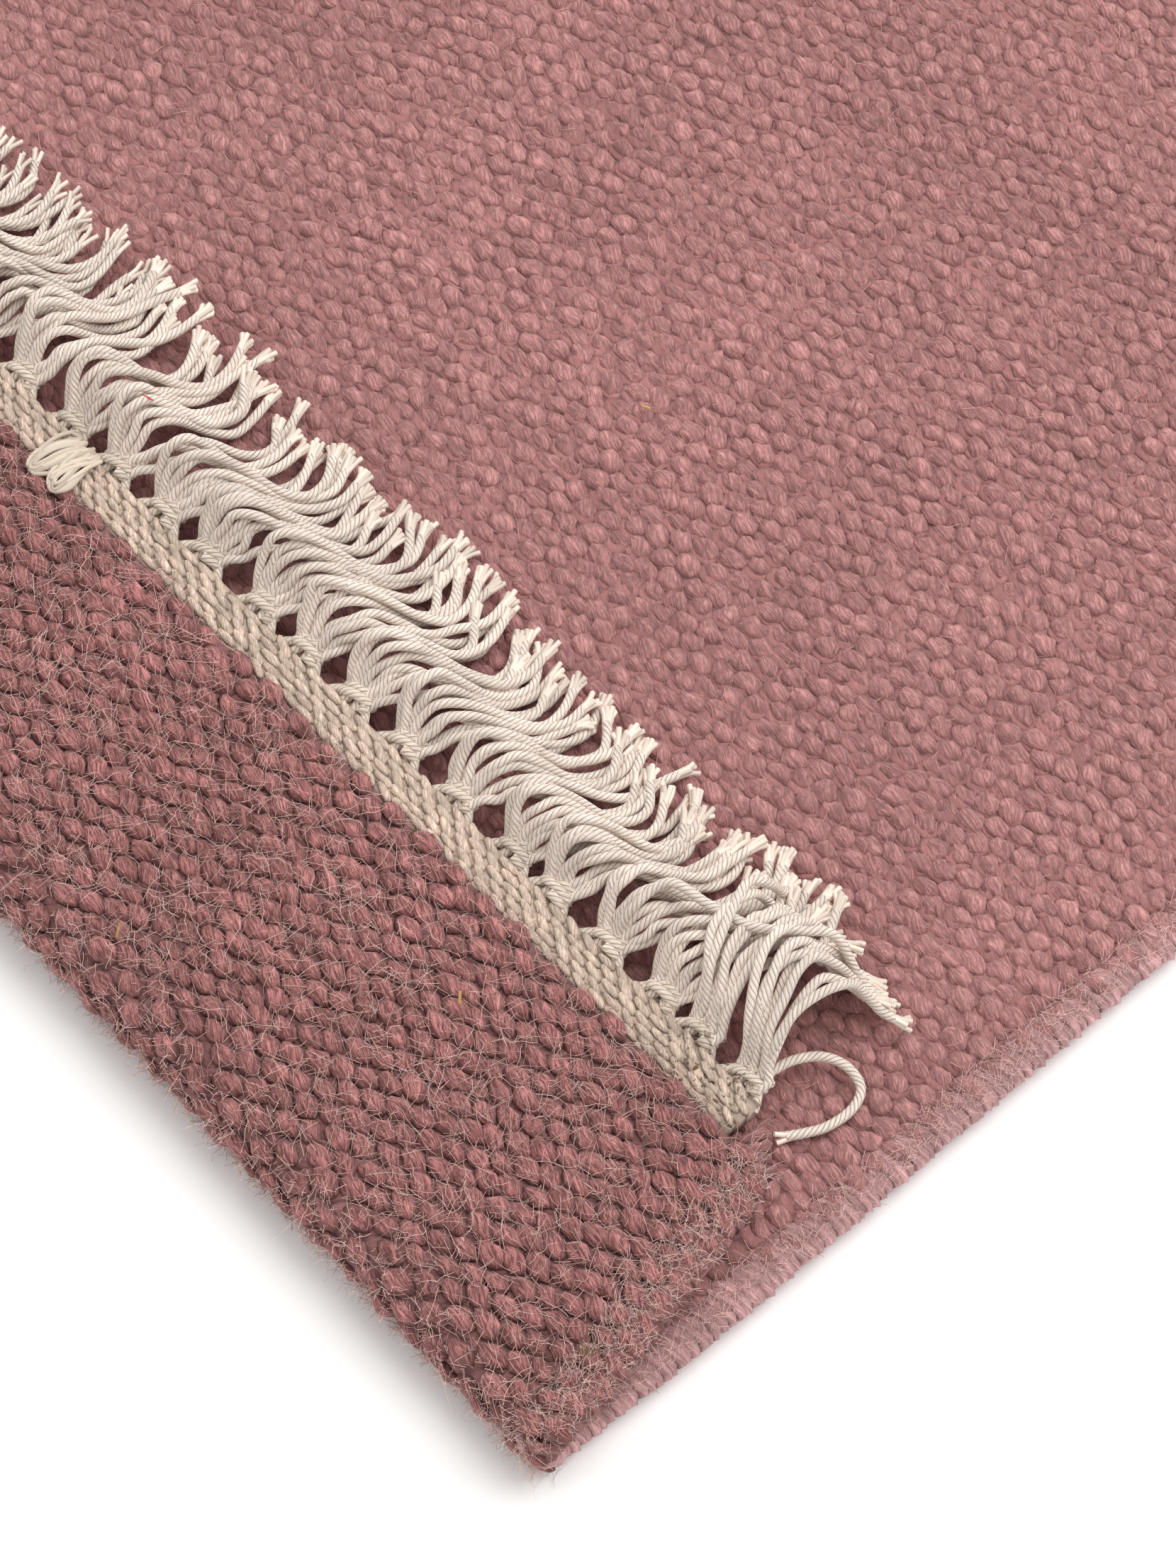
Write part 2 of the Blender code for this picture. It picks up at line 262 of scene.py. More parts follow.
def guide(name, mesh):
    """A mould or line that the trees read and the render leaves out."""
    helper = bpy.data.objects.new(name, mesh)
    helper.hide_render = True
    scene.collection.objects.link(helper)
    guides.append(helper)
    return helper


guides = []
print("node helper ready")

# %% [markdown]
# ## The warp line
#
# Every point of the cloth is reached by walking along one warp, from the far
# end, under the fold and back over on the flap, and then going across. So the
# warp's path is drawn once, as a line of points, and each point remembers how
# wide the rug is there and how far the flap leans off square.

# %% The warp line
HALF_WIDTH = 305 * MM
THICKNESS = 6 * MM
BAND_THICKNESS = 4.4 * MM
FOLD_RADIUS = 3.9 * MM
FLAP_REACH = 69.5 * MM
FLAP_SKEW = 0.012
SQUARE_AT = 216.5 * MM
BAND_WIDTH = 8.2 * MM
PART_GAP = 0.3 * MM
BINDING_RADIUS = 3 * MM

Row = namedtuple("Row", "at height half_width")
LOWER_MM = ((0, 3, 304), (25, 3, 305), (760, 3, 305), (795, 3, 304), (817, 3, 302))
FLAP_MM = (
    (6.9, 10.8, 304),
    (17, 10.7, 303),
    (26, 10.4, 300.5),
    (37, 10.0, 298),
    (48, 9.8, 296),
    (55, 9.7, 294.5),
    (61, 9.6, 292),
    (64.5, 9.4, 288),
)
LOWER_ROWS = [Row(*(value * MM for value in row)) for row in LOWER_MM]
*FLAP_ROWS, HOOK = [Row(*(value * MM for value in row)) for row in FLAP_MM]

front_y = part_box("wool_cloth")[0].y
far_band_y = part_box("band_far")[1].y
bend_y = front_y + FOLD_RADIUS + THICKNESS / 2
wool_far_y = far_band_y - BAND_WIDTH - PART_GAP
Place = namedtuple("Place", "y height half_width reach")


def between(rows, value, at):
    """The value that rows give at a place, on straight lines between the rows."""
    for low, high in zip(rows, rows[1:]):
        if at <= high.at:
            share = max(0.0, (at - low.at) / (high.at - low.at))
            return (1 - share) * getattr(low, value) + share * getattr(high, value)
    return getattr(rows[-1], value)


def evenly(start, end, step):
    """Places from start to end, about a step apart, both ends included."""
    count = max(1, round(abs(end - start) / step))
    return [start + (end - start) * k / count for k in range(count + 1)]


def wool_places():
    """The wool's middle surface from its far end, round the fold, to the flap's end."""
    places = []
    for at in evenly(wool_far_y - bend_y, 0, 9 * MM):
        half_width = between(LOWER_ROWS, "half_width", at)
        places.append(Place(bend_y + at, THICKNESS / 2, half_width, 0))
    for angle in evenly(0, math.pi, math.pi / 20)[1:]:
        y = bend_y - FOLD_RADIUS * math.sin(angle)
        height = THICKNESS / 2 + FOLD_RADIUS * (1 - math.cos(angle))
        places.append(Place(y, height, LOWER_ROWS[0].half_width, 0))
    for at in evenly(FLAP_ROWS[0].at, FLAP_ROWS[-1].at, 3 * MM)[1:]:
        height = between(FLAP_ROWS, "height", at)
        places.append(Place(front_y + at, height, between(FLAP_ROWS, "half_width", at), at))
    return places


def whole_line():
    """The wool's places with the two cotton bands added at its ends."""
    low = BAND_THICKNESS / 2
    far = [Place(far_band_y, low, HALF_WIDTH, 0), Place(far_band_y - BAND_WIDTH, low, HALF_WIDTH, 0)]
    inner = FLAP_REACH - BAND_WIDTH
    high = FLAP_ROWS[-1].height - 0.2 * MM
    flap = [Place(front_y + reach, high, HALF_WIDTH, reach) for reach in (inner, FLAP_REACH)]
    return [*far, *wool_places(), *flap]


def line_mesh(name, points):
    """A mesh of vertices joined one to the next."""
    mesh = bpy.data.meshes.new(name)
    mesh.from_pydata(points, [(k, k + 1) for k in range(len(points) - 1)], [])
    return mesh


def warp_line():
    """The guide that the trees sample: a line with its width, lean and length run."""
    places = whole_line()
    mesh = line_mesh("warp line", [(0, p.y, p.height) for p in places])
    mesh.attributes.new("cut", "FLOAT_VECTOR", "POINT")
    mesh.attributes.new("along", "FLOAT", "POINT")
    cut, along = mesh.attributes["cut"], mesh.attributes["along"]
    run = 0.0
    for k, place in enumerate(places):
        if k:
            run += (mesh.vertices[k].co - mesh.vertices[k - 1].co).length
        lean = FLAP_SKEW * place.reach / FLAP_REACH
        cut.data[k].vector = (place.half_width / HALF_WIDTH, lean, 0)
        along.data[k].value = run
    return guide("warp line", mesh), run, len(places)


warp, cloth_run, line_points = warp_line()
print(f"the warp runs {cloth_run / MM:.0f} mm through {line_points} points")

# %% [markdown]
# ## A place on the cloth
#
# This group turns two walking distances into a point in space. Across is
# measured along the weft, along is measured down the warp, and side picks the
# face (-1) or the underside (+1). On the flap the underside is on top.

# %% A place on the cloth
w = new_group(
    "place on the cloth",
    GEOMETRY,
    {"geometry": "Line", "float": "Across, Along, Side, Lift"},
    {"vector": "Point, Out"},
)
cloth_place = w.tree
walk = w.geo(
    "SampleCurve",
    w.geo("MeshToCurve", w["Line"]),
    named={
        "Value": w.geo("InputNamedAttribute", "cut", data_type="FLOAT_VECTOR"),
        "Length": w["Along"],
    },
    data_type="FLOAT_VECTOR",
    mode="LENGTH",
)
width, lean, _ = w.parts(walk["Value"])
x = w["Across"] * width
shift = lean * (x - SQUARE_AT)
upward = w.vector("CROSS_PRODUCT", (1, 0, 0), walk["Tangent"]) * w["Side"]
w.give(Point=walk["Position"] + w.joined(x, shift) + upward * w["Lift"], Out=upward)
print("sockets:", [s.name for s in cloth_place.interface.items_tree])

# %% [markdown]
# ## Shared finish effects
#
# Four effects come back in several materials. Yarn fibres are noise that is
# stretched along a slanted direction, as spun fibres lie in a yarn. A slow
# drift changes the shade over the rug. A stain and shade place is brown specks
# and clouds round one centre: on the band and its cords a real stain, on the
# flap a painted shadow in a small hollow. The weave lattice draws staggered
# beads from the cloth's own measure, for the cloth that isn't built bead by
# bead.

# %% Yarn fibres
w = new_group("yarn fibres", SHADER, {"float": "Along, Around, Own, Twist"}, {"float": "Fibre"})
fibres = w.tree
cos, sin = w.math("COSINE", w["Twist"]), w.math("SINE", w["Twist"])
run = w["Along"] * cos + w["Around"] * sin
side = w["Around"] * cos - w["Along"] * sin
own = w["Own"] * 97.0
coarse = w.noise(w.joined(run * 0.4, side * 2.4, own), 1.0, 3.0)
fine = w.noise(w.joined(run * 1.1, side * 7.5, own), 1.0, 2.0)
w.give(Fibre=w.ramp(coarse * 0.6 + fine * 0.4, 0.33, 0.67))

# %% Slow drift
w = new_group("slow drift", SHADER, {"vector": "Place", "float": "Spread, Scale"}, {"float": "Shade"})
slow_drift = w.tree
cloud = w.noise(w["Place"], w["Scale"], 3.0)
w.give(Shade=w.ramp(cloud, 0.3, 0.7, 1.0 - w["Spread"], w["Spread"] + 1.0))

# %% Stained and shaded place
STAIN_AND_SHADE = (0.17, 0.10, 0.055)
w = new_group(
    "soiled place",
    SHADER,
    {"vector": "Place, Dyed, Centre", "float": "Whole, Reach, Bare"},
    {"vector": "Stained"},
)
stain_and_shade_place = w.tree
# On the flap these specks are painted shadow; on the band and cords they are real stains.
near = w.vector("DISTANCE", w["Place"], w["Centre"])["Value"]
near = w.ramp(near, w["Whole"], w["Reach"], 1.0, 0.0)
specks = w.ramp(w.noise(w["Place"], 900.0), w["Bare"], w["Bare"] + 0.1)
clouds = w.ramp(w.noise(w["Place"], 260.0), 0.45, 0.75, 0.0, 0.4)
share = near * w.math("MAXIMUM", specks, clouds)
w.give(Stained=w["Dyed"] + (STAIN_AND_SHADE - w["Dyed"]) * share)
print("groups:", [tree.name for tree in (fibres, slow_drift, stain_and_shade_place)])

# %% Weave lattice
w = new_group(
    "weave lattice",
    SHADER,
    {"float": "Across, Along, Warp step, Weft step"},
    {"float": "Bead, Own", "vector": "On"},
)
lattice = w.tree


def bead_of(w, stagger):
    """One of the two staggered sets of beads: height, own number, place in the bead."""
    across = w["Across"] / w["Warp step"] + stagger
    along = (w["Along"] / w["Weft step"] + 2 * stagger) * 0.5
    from_x = w.math("FRACT", across) - 0.5
    from_y = w.math("FRACT", along) - 0.5
    fall_x = w.math("POWER", w.math("ABSOLUTE", from_x) * 2.95, 2.2)
    fall_y = w.math("POWER", w.math("ABSOLUTE", from_y) * 2.15, 2.2)
    dome = w.math("SQRT", w.math("MAXIMUM", 1.0 - (fall_x + fall_y), 0.0))
    cell = w.joined(w.math("FLOOR", across), w.math("FLOOR", along), stagger * 10)
    own = w.add("ShaderNodeTexWhiteNoise", cell, out="Value", noise_dimensions="3D")
    return dome, own, w.joined(from_x, from_y)


even, even_own, even_on = bead_of(w, 0.0)
odd, odd_own, odd_on = bead_of(w, 0.5)
first = w.math("GREATER_THAN", even, odd)
w.give(
    Bead=w.math("MAXIMUM", even, odd),
    Own=(even_own - odd_own) * first + odd_own,
    On=(even_on - odd_on) * first + odd_on,
)
print("sockets:", [s.name for s in lattice.interface.items_tree])

# %% [markdown]
# ## Wool and cotton
#
# Each material starts from one dye colour. Wool is carded, so its colour
# drifts over the rug and from bead to bead; it has no gloss, but a soft sheen
# at grazing angles. Deep between the beads, low on each bead and at the sides
# of each cotton ply, the colour is painted darker, as shade.

# %% Dye colours and pitches
DUSTY_PINK = (0.43, 0.208, 0.201)
FLAP_PINK = (0.38, 0.16, 0.153)
WOVEN_PINK = (0.385, 0.18, 0.173)
PALE_WRAP = (0.60, 0.345, 0.35)
EDGE_PINK = (0.38, 0.17, 0.165)
FUZZ_PINK = (0.52, 0.31, 0.28)
HAIR_PINK = (0.84, 0.62, 0.56)
HAZE_PINK = (0.70, 0.46, 0.43)
RAW_COTTON = (0.995, 0.86, 0.755)
KNOT_COTTON = (0.91, 0.775, 0.65)
BAND_COTTON = (0.70, 0.56, 0.455)
WOVEN_COTTON = (0.58, 0.46, 0.37)
WAD_COTTON = (0.60, 0.515, 0.42)
TUFT_COTTON = (0.84, 0.725, 0.63)
WOOL_GLOW = (1.0, 0.66, 0.62)
PLAIN_GLOW = (1.0, 0.9, 0.86)
STRAW = (0.42, 0.24, 0.09)
RED_FIBRE = (0.50, 0.07, 0.045)
WOOL_ROUGHNESS = 0.95
BEAD_PITCH = 8 * MM
WEFT_STEP = 2.16 * MM
PLIES = 5
PLY_STEP = 1.1 * MM

# %% Soiled spots and a painted shadow
Spots = namedtuple("Spots", "centre whole reach bare")
SOILED_BAND = Spots((0.2705, -0.3720, 0.0115), 4 * MM, 14 * MM, 0.56)
# Painted shadow: dark specks on the flap where a small hollow lies in shade.
HOLLOW_SHADOW_SPOT = Spots((0.2948, -0.4195, 0.0138), 0.9 * MM, 2.6 * MM, 0.36)

# %% Even values and shared effects
def new_finish(name, roughness, sheen, glow=(1.0, 1.0, 1.0)):
    """A material with its wiring, and the even values set on its shader."""
    material = bpy.data.materials.new(name)
    material.use_nodes = True
    sockets = material.node_tree.nodes["Principled BSDF"].inputs
    sockets["Roughness"].default_value = roughness
    sockets["Sheen Weight"].default_value = sheen
    sockets["Sheen Roughness"].default_value = 0.5
    sockets["Sheen Tint"].default_value = (*glow, 1.0)
    sockets["Specular IOR Level"].default_value = 0.08
    return material, Wiring(material.node_tree, result=sockets)


def tinted(w, colour, *factors):
    """A colour times several factors that change over the surface."""
    dyed = w.joined(*colour)
    for factor in factors:
        dyed = dyed * factor
    return dyed


def attribute(w, name, out):
    return w.add("ShaderNodeAttribute", out=out, attribute_name=name)


def spread_ramp(w, value, low, high):
    """A number from 0 to 1, eased from low to high."""
    return w.ramp(value, 0.0, 1.0, low, high)


def drift(w, spread, scale=22.0):
    """Slow change of shade over the rug."""
    place = w.add("ShaderNodeTexCoord", out="Object")
    return w.group(slow_drift, Place=place, Spread=spread, Scale=scale)


def bump(w, height, distance, strength):
    named = {"Strength": strength, "Distance": distance, "Height": height}
    return w.add("ShaderNodeBump", named=named)


def with_stain_and_shade(w, dyed, spots):
    """Brown specks and clouds round one place: a real stain on the band and cords, a painted shadow in
    a hollow on the flap.
    """
    place = w.add("ShaderNodeTexCoord", out="Object")
    named = {"Centre": spots.centre, "Whole": spots.whole, "Reach": spots.reach, "Bare": spots.bare}
    return w.group(stain_and_shade_place, Place=place, Dyed=dyed, **named)

# %% Yarn finish
def yarn_finish(name, colour, sheen, girth, contrast, painted_low_shade, tone_spread, spots=None):
    """Yarn whose mould says where on it a point is, in half lengths, turns and height. Low on the yarn
    its colour is painted darker, as shade.
    """
    material, w = new_finish(name, WOOL_ROUGHNESS, sheen, WOOL_GLOW)
    at, turn, height = w.parts(attribute(w, "yarn", "Vector"))
    own = attribute(w, "tone", "Fac")
    fibre = w.group(fibres, Along=at * 2.9, Around=turn * girth, Own=own, Twist=0.5)
    # Painted shade: darker low on each bead and wrap, a little lighter on top.
    up = w.ramp(height, -0.3, 0.75, painted_low_shade, 1.05)
    grain = spread_ramp(w, fibre, 1 - contrast, 1 + 0.6 * contrast)
    shade = spread_ramp(w, own, 1 - tone_spread, 1 + tone_spread)
    dyed = tinted(w, colour, shade, up, grain, drift(w, 0.05), drift(w, 0.15, 330.0))
    if spots:
        dyed = with_stain_and_shade(w, dyed, spots)
    w.give(Base_Color=dyed, Normal=bump(w, fibre, 0.25 * MM, 0.8))
    return material

# %% Woven finish
def woven_finish(name, colour, weft_step, relief, back_shade=1.0):
    """Cloth that carries its beads as bump, on the cloth's own measure, with painted shade between the
    beads.
    """
    material, w = new_finish(name, WOOL_ROUGHNESS, 0.25, WOOL_GLOW)
    across, along, side = w.parts(attribute(w, "weave", "Vector"))
    steps = {"Warp_step": BEAD_PITCH, "Weft_step": weft_step}
    woven = w.group(lattice, Across=across, Along=along, **steps)
    from_x, from_y, _ = w.parts(woven["On"])
    fibre = w.group(
        fibres,
        Along=from_x * (BEAD_PITCH / MM),
        Around=from_y * (2 * weft_step / MM),
        Own=woven["Own"],
        Twist=0.45,
    )
    # Painted shade: the colour darkens between the beads, where light hardly reaches.
    deep = w.ramp(woven["Bead"], 0.0, 0.85, 0.6, 1.03)
    grain = spread_ramp(w, fibre, 0.85, 1.1)
    back = w.ramp(side, -1.0, 1.0, 1.0, back_shade)
    own_shade = spread_ramp(w, woven["Own"], 0.88, 1.12)
    dyed = tinted(w, colour, own_shade, deep, grain, back, drift(w, 0.05))
    w.give(Base_Color=dyed, Normal=bump(w, woven["Bead"] + fibre * 0.12, relief, 0.9))
    return material

# %% Cord finish
def cord_finish(name, colour):
    """Plied cotton: fine plies wound round each other, drawn from the way round."""
    material, w = new_finish(name, 0.85, 0.2)
    ring = w.parts(attribute(w, "ring", "Vector"))
    around = w.math("ARCTAN2", ring[1], ring[0]) / (2 * math.pi)
    run = attribute(w, "run", "Fac") * (1 / MM)
    own = attribute(w, "tone", "Fac")
    turned = around * PLIES + run / (PLY_STEP / MM)
    across_ply = w.math("FRACT", turned) - 0.5
    flat = across_ply * across_ply * 4.0
    ply = w.math("SQRT", w.math("MAXIMUM", 1.0 - flat, 0.0))
    which = w.math("FLOOR", turned) + own * 9.0
    fibre = w.group(fibres, Along=run, Around=across_ply * 1.6, Own=which, Twist=0.25)
    # Painted shade: each ply is darker at its sides, in the grooves between plies.
    shade = w.ramp(ply, 0.1, 0.9, 0.62, 1.0)
    grain = spread_ramp(w, fibre, 0.85, 1.08)
    dyed = tinted(w, colour, spread_ramp(w, own, 0.9, 1.05), shade, grain, drift(w, 0.06, 60.0))
    w.give(
        Base_Color=with_stain_and_shade(w, dyed, SOILED_BAND),
        Normal=bump(w, ply + fibre * 0.3, 0.35 * MM, 1.0),
    )
    return material

# %% Plain finish
def plain_finish(name, colour, spread):
    """One colour that changes a little from fibre to fibre."""
    material, w = new_finish(name, 0.8, 0.3, PLAIN_GLOW)
    shade = spread_ramp(w, attribute(w, "tone", "Fac"), 1 - spread, 1 + spread)
    w.give(Base_Color=tinted(w, colour, shade))
    return material

# %% The rug's materials
face_wool = yarn_finish("face wool", DUSTY_PINK, 0.28, 8.0, 0.38, 0.72, 0.08)
flap_wool = yarn_finish("flap wool", FLAP_PINK, 0.3, 9.0, 0.66, 0.5, 0.1, HOLLOW_SHADOW_SPOT)
wrap_wool = yarn_finish("wrapping wool", PALE_WRAP, 0.5, 7.0, 0.32, 0.76, 0.09)
edge_wool = yarn_finish("edge wool", EDGE_PINK, 0.4, 8.0, 0.55, 0.5, 0.12)
band_yarn = yarn_finish("band cotton", BAND_COTTON, 0.1, 4.0, 0.3, 0.5, 0.07, SOILED_BAND)
woven_wool = woven_finish("woven wool", WOVEN_PINK, WEFT_STEP, 1.3 * MM, 0.68)
woven_cotton = woven_finish("woven cotton", WOVEN_COTTON, 1.4 * MM, 0.8 * MM)
cord_cotton = cord_finish("plied cotton", RAW_COTTON)
knot_cotton = cord_finish("knot cotton", KNOT_COTTON)
wad_cotton = plain_finish("wad cotton", WAD_COTTON, 0.22)
cotton_tuft = plain_finish("cotton tufts", TUFT_COTTON, 0.15)
fuzz_wool = plain_finish("loose fibres", FUZZ_PINK, 0.5)
hair_wool = plain_finish("long hairs", HAIR_PINK, 0.3)
haze_wool = plain_finish("hazy fibres", HAZE_PINK, 0.4)
straw_bits = plain_finish("straw", STRAW, 0.3)
red_fibre = plain_finish("red fibre", RED_FIBRE, 0.1)
print("materials:", len(bpy.data.materials))

# %% [markdown]
# ## The cloth under the beads
#
# A closed slab follows the warp line and carries the whole weave as bump.
# Where real beads will stand, near the corner, both its faces sink a little,
# so that the beads rise out of it and the gaps between them are deep. It
# starts as a box of many small faces, and each point is sent to its place.

# %% How the trees begin and end
def given_shape(w, name):
    """The mesh of an object that the tree is given."""
    return w.geo("ObjectInfo", w[name], out="Geometry")


def stored(w, shape, name, value, domain="POINT"):
    """Leaves a value on a shape under a name, for the material to read."""
    sort = "FLOAT_VECTOR" if value.socket.type == "VECTOR" else "FLOAT"
    return w.geo("StoreNamedAttribute", shape, None, name, value, data_type=sort, domain=domain)


def hand_out(w, shape, smooth=False):
    """Ends a tree: a real mesh with the tree's material is handed out."""
    if smooth:
        shape = w.geo("SetShadeSmooth", shape)
    shape = w.geo("RealizeInstances", shape)
    w.give(Geometry=w.geo("SetMaterial", shape, None, w["Finish"]))

# %% The woven slab
w = new_group(
    "woven slab",
    GEOMETRY,
    {
        "object": "Warp line",
        "int": "First point, Points, Columns",
        "float": "Half width, Half thickness, Sunk, Sunk from across, Sunk from along",
        "material": "Finish",
    },
)
slab = w.tree
SINK_SLOPE = 12 * MM
line = given_shape(w, "Warp line")
box = w.geo("MeshCube", (1, 1, 1), w["Columns"] + 1, w["Points"], 2, out="Mesh")
spot_x, spot_y, spot_z = w.parts(w.geo("InputPosition"))
row = w.math("ROUND", (spot_y + 0.5) * (w["Points"] - 1))
along = w.geo(
    "SampleIndex",
    line,
    w.geo("InputNamedAttribute", "along", data_type="FLOAT"),
    row + w["First point"],
    data_type="FLOAT",
    domain="POINT",
)
across = spot_x * 2.0 * w["Half width"]
side = spot_z * 2.0
far_in = w.ramp(across, w["Sunk from across"], w["Sunk from across"] + SINK_SLOPE)
far_on = w.ramp(along, w["Sunk from along"], w["Sunk from along"] + SINK_SLOPE)
sink = w["Sunk"] * (far_in * far_on) * (side * 0.3 + 0.7)
lift = w["Half thickness"] - sink
place = w.group(cloth_place, Line=line, Across=across, Along=along, Side=side, Lift=lift)
woven = stored(w, box, "weave", w.joined(across, along, side))
hand_out(w, w.geo("SetPosition", woven, None, place["Point"]), smooth=True)

# %% Slabs of wool and cotton
CORNER_ACROSS = 20 * MM
CORNER_ALONG = 535 * MM
wool_half = HALF_WIDTH - BINDING_RADIUS * 1.6
wool_sheet = made_by(
    slab,
    "wool_sheet",
    warp_line=warp,
    first_point=2,
    points=line_points - 4,
    columns=60,
    half_width=wool_half,
    half_thickness=THICKNESS / 2,
    sunk=1.35 * MM,
    sunk_from_across=CORNER_ACROSS,
    sunk_from_along=CORNER_ALONG,
    finish=woven_wool,
)
band_sheets = {}
for end, first_point, half_width in (("far", 0, 293 * MM), ("flap", line_points - 2, 281 * MM)):
    band_sheets[end] = made_by(
        slab,
        f"cotton_band_{end}",
        warp_line=warp,
        first_point=first_point,
        points=2,
        columns=60,
        half_width=half_width,
        half_thickness=BAND_THICKNESS / 2,
        sunk=0.5 * MM,
        sunk_from_across=-1.0,
        sunk_from_along=-1.0,
        finish=woven_cotton,
    )

# %% [markdown]
# ## One bead of yarn
#
# In this weave only the weft shows: each short bead is the wool passing over
# one warp before it dives. The mould is a small closed grain whose poles lie
# along the yarn, flat underneath, with most of its faces on the side that
# shows. It remembers where on the yarn each point is and how high, for the
# fibres and for the painted shade low on the bead.

# %% Bead moulds
UNDER = 25


def cast(name, bm):
    """Turns a mould's faces outward and keeps it as a smooth guide."""
    bmesh.ops.recalc_face_normals(bm, faces=bm.faces)
    mesh = bpy.data.meshes.new(name)
    bm.to_mesh(mesh)
    bm.free()
    mesh.shade_smooth()
    return guide(name, mesh)


def yarn_mould(name, stations, sides, blunt=2.3, taper=0.5):
    """A grain of yarn, one unit in each half length, half width and height."""
    bm = bmesh.new()
    on_yarn = bm.verts.layers.float_vector.new("yarn")
    rings = []
    for at in stations:
        size = max(0.0, 1 - abs(at) ** blunt) ** taper
        rise = 0.12 * (1 - at * at)
        ring = []
        for k in range(sides):
            turn = k / (sides - 1)
            angle = math.radians(-UNDER + turn * (180 + 2 * UNDER))
            vert = bm.verts.new((at, size * math.cos(angle), size * math.sin(angle) + rise))
            vert[on_yarn] = (at, turn, math.sin(angle) * size)
            ring.append(vert)
        rings.append(ring)
    poles = []
    for at in (-1, 1):
        pole = bm.verts.new((at, 0, -0.1))
        pole[on_yarn] = (at, 0.5, -0.2)
        poles.append(pole)
    for ring, other in zip(rings, rings[1:]):
        for k in range(sides):
            after = (k + 1) % sides
            bm.faces.new((ring[k], ring[after], other[after], other[k]))
    for pole, ring in zip(poles, (rings[0], rings[-1])):
        for k in range(sides):
            bm.faces.new((pole, ring[k], ring[(k + 1) % sides]))
    return cast(name, bm)


face_mould = yarn_mould("face bead mould", (-0.72, -0.26, 0.26, 0.72), 6)
flap_mould = yarn_mould("flap bead mould", (-0.78, -0.42, 0, 0.42, 0.78), 7, 1.7, 0.7)
plain_mould = yarn_mould("plain bead mould", (-0.55, 0.55), 5)
for mould in (face_mould, flap_mould, plain_mould):
    print(mould.name, "has", len(mould.data.polygons), "faces")

# %% [markdown]
# ## Beads in rows
#
# A plain weave staggers its beads: every second row moves over by one warp.
# Points are counted out in rows, sent to the cloth, and each gets a bead that
# stands on the cloth's own direction, a little uneven in place, turn and size.

# %% Uneven copies and lumps
FLOOR_CLEARANCE = 0.1 * MM
LUMPS_PER_UNIT = 420.0


def on_floor(w, shape, place):
    """Sends a shape's points to their places, and none below the floor."""
    place = w.vector("MAXIMUM", place, (-1, -1, FLOOR_CLEARANCE))
    return w.geo("SetPosition", shape, None, place)


def roughened(w, shape):
    """Small lumps all over a shape."""
    here = w.geo("InputPosition")
    lumps = w.noise(here * LUMPS_PER_UNIT)["Color"] - (0.5, 0.5, 0.5)
    shape = w.geo("SetPosition", shape, None, None, lumps * w["Rough"])
    return on_floor(w, shape, here)


def uneven(w):
    """Three random numbers for each element, from -1 to 1."""
    ends, named = ((-1, -1, -1), (1, 1, 1)), {"Seed": w["Seed"]}
    off = w.add("FunctionNodeRandomValue", *ends, named=named, data_type="FLOAT_VECTOR")
    return w.parts(off)


def turned(w, upward, across, lean):
    """A turn that stands along one direction, faces another, and then leans."""
    axes = {"primary_axis": "Z", "secondary_axis": "X"}
    stand = w.add("FunctionNodeAxesToRotation", upward, across, **axes)
    lean = w.add("FunctionNodeEulerToRotation", lean)
    return w.add("FunctionNodeRotateRotation", stand, lean, rotation_space="LOCAL")


def placed(w, points, shape, turn, size, tone):
    """Copies of a shape on points, each with its own tone, made one shape."""
    named = {"Rotation": turn, "Scale": size}
    copies = w.geo("InstanceOnPoints", points, None, shape, named=named)
    return w.geo("RealizeInstances", stored(w, copies, "tone", tone, "INSTANCE"))

# %% Beads in rows
w = new_group(
    "weft beads",
    GEOMETRY,
    {
        "object": "Warp line, Mould",
        "int": "Columns, Rows, Seed",
        "float": "First across, First along, Warp step, Weft step, Side, Lift, Slant, Uneven, Rough",
        "vector": "Size",
        "material": "Finish",
    },
)
beads = w.tree
index = w.geo("InputIndex")
row = w.math("FLOOR", (index + 0.5) / w["Columns"])
column = index - row * w["Columns"] + w.math("FRACT", row * 0.5)
off_x, off_y, off_z = uneven(w)
across = w["First across"] + column * w["Warp step"]
along = w["First along"] + row * w["Weft step"]
sway = w.noise(w.joined(across, along), 34.0, 1.0) - 0.5
place = w.group(
    cloth_place,
    Line=given_shape(w, "Warp line"),
    Across=across + off_x * w["Uneven"],
    Along=along + (off_y + sway * 5.0) * w["Uneven"],
    Side=w["Side"],
    Lift=w["Lift"] + off_z * (w["Uneven"] * 0.45),
)
points = w.geo("Points", w["Columns"] * w["Rows"], place["Point"], MM)
spin = w["Slant"] + off_x * 0.24
laid = placed(
    w,
    points,
    given_shape(w, "Mould"),
    turned(w, place["Out"], (1, 0, 0), w.joined(0.0, 0.0, spin)),
    w["Size"] * (off_y * 0.1 + 1.0),
    off_z * 0.5 + 0.5,
)
hand_out(w, roughened(w, laid))

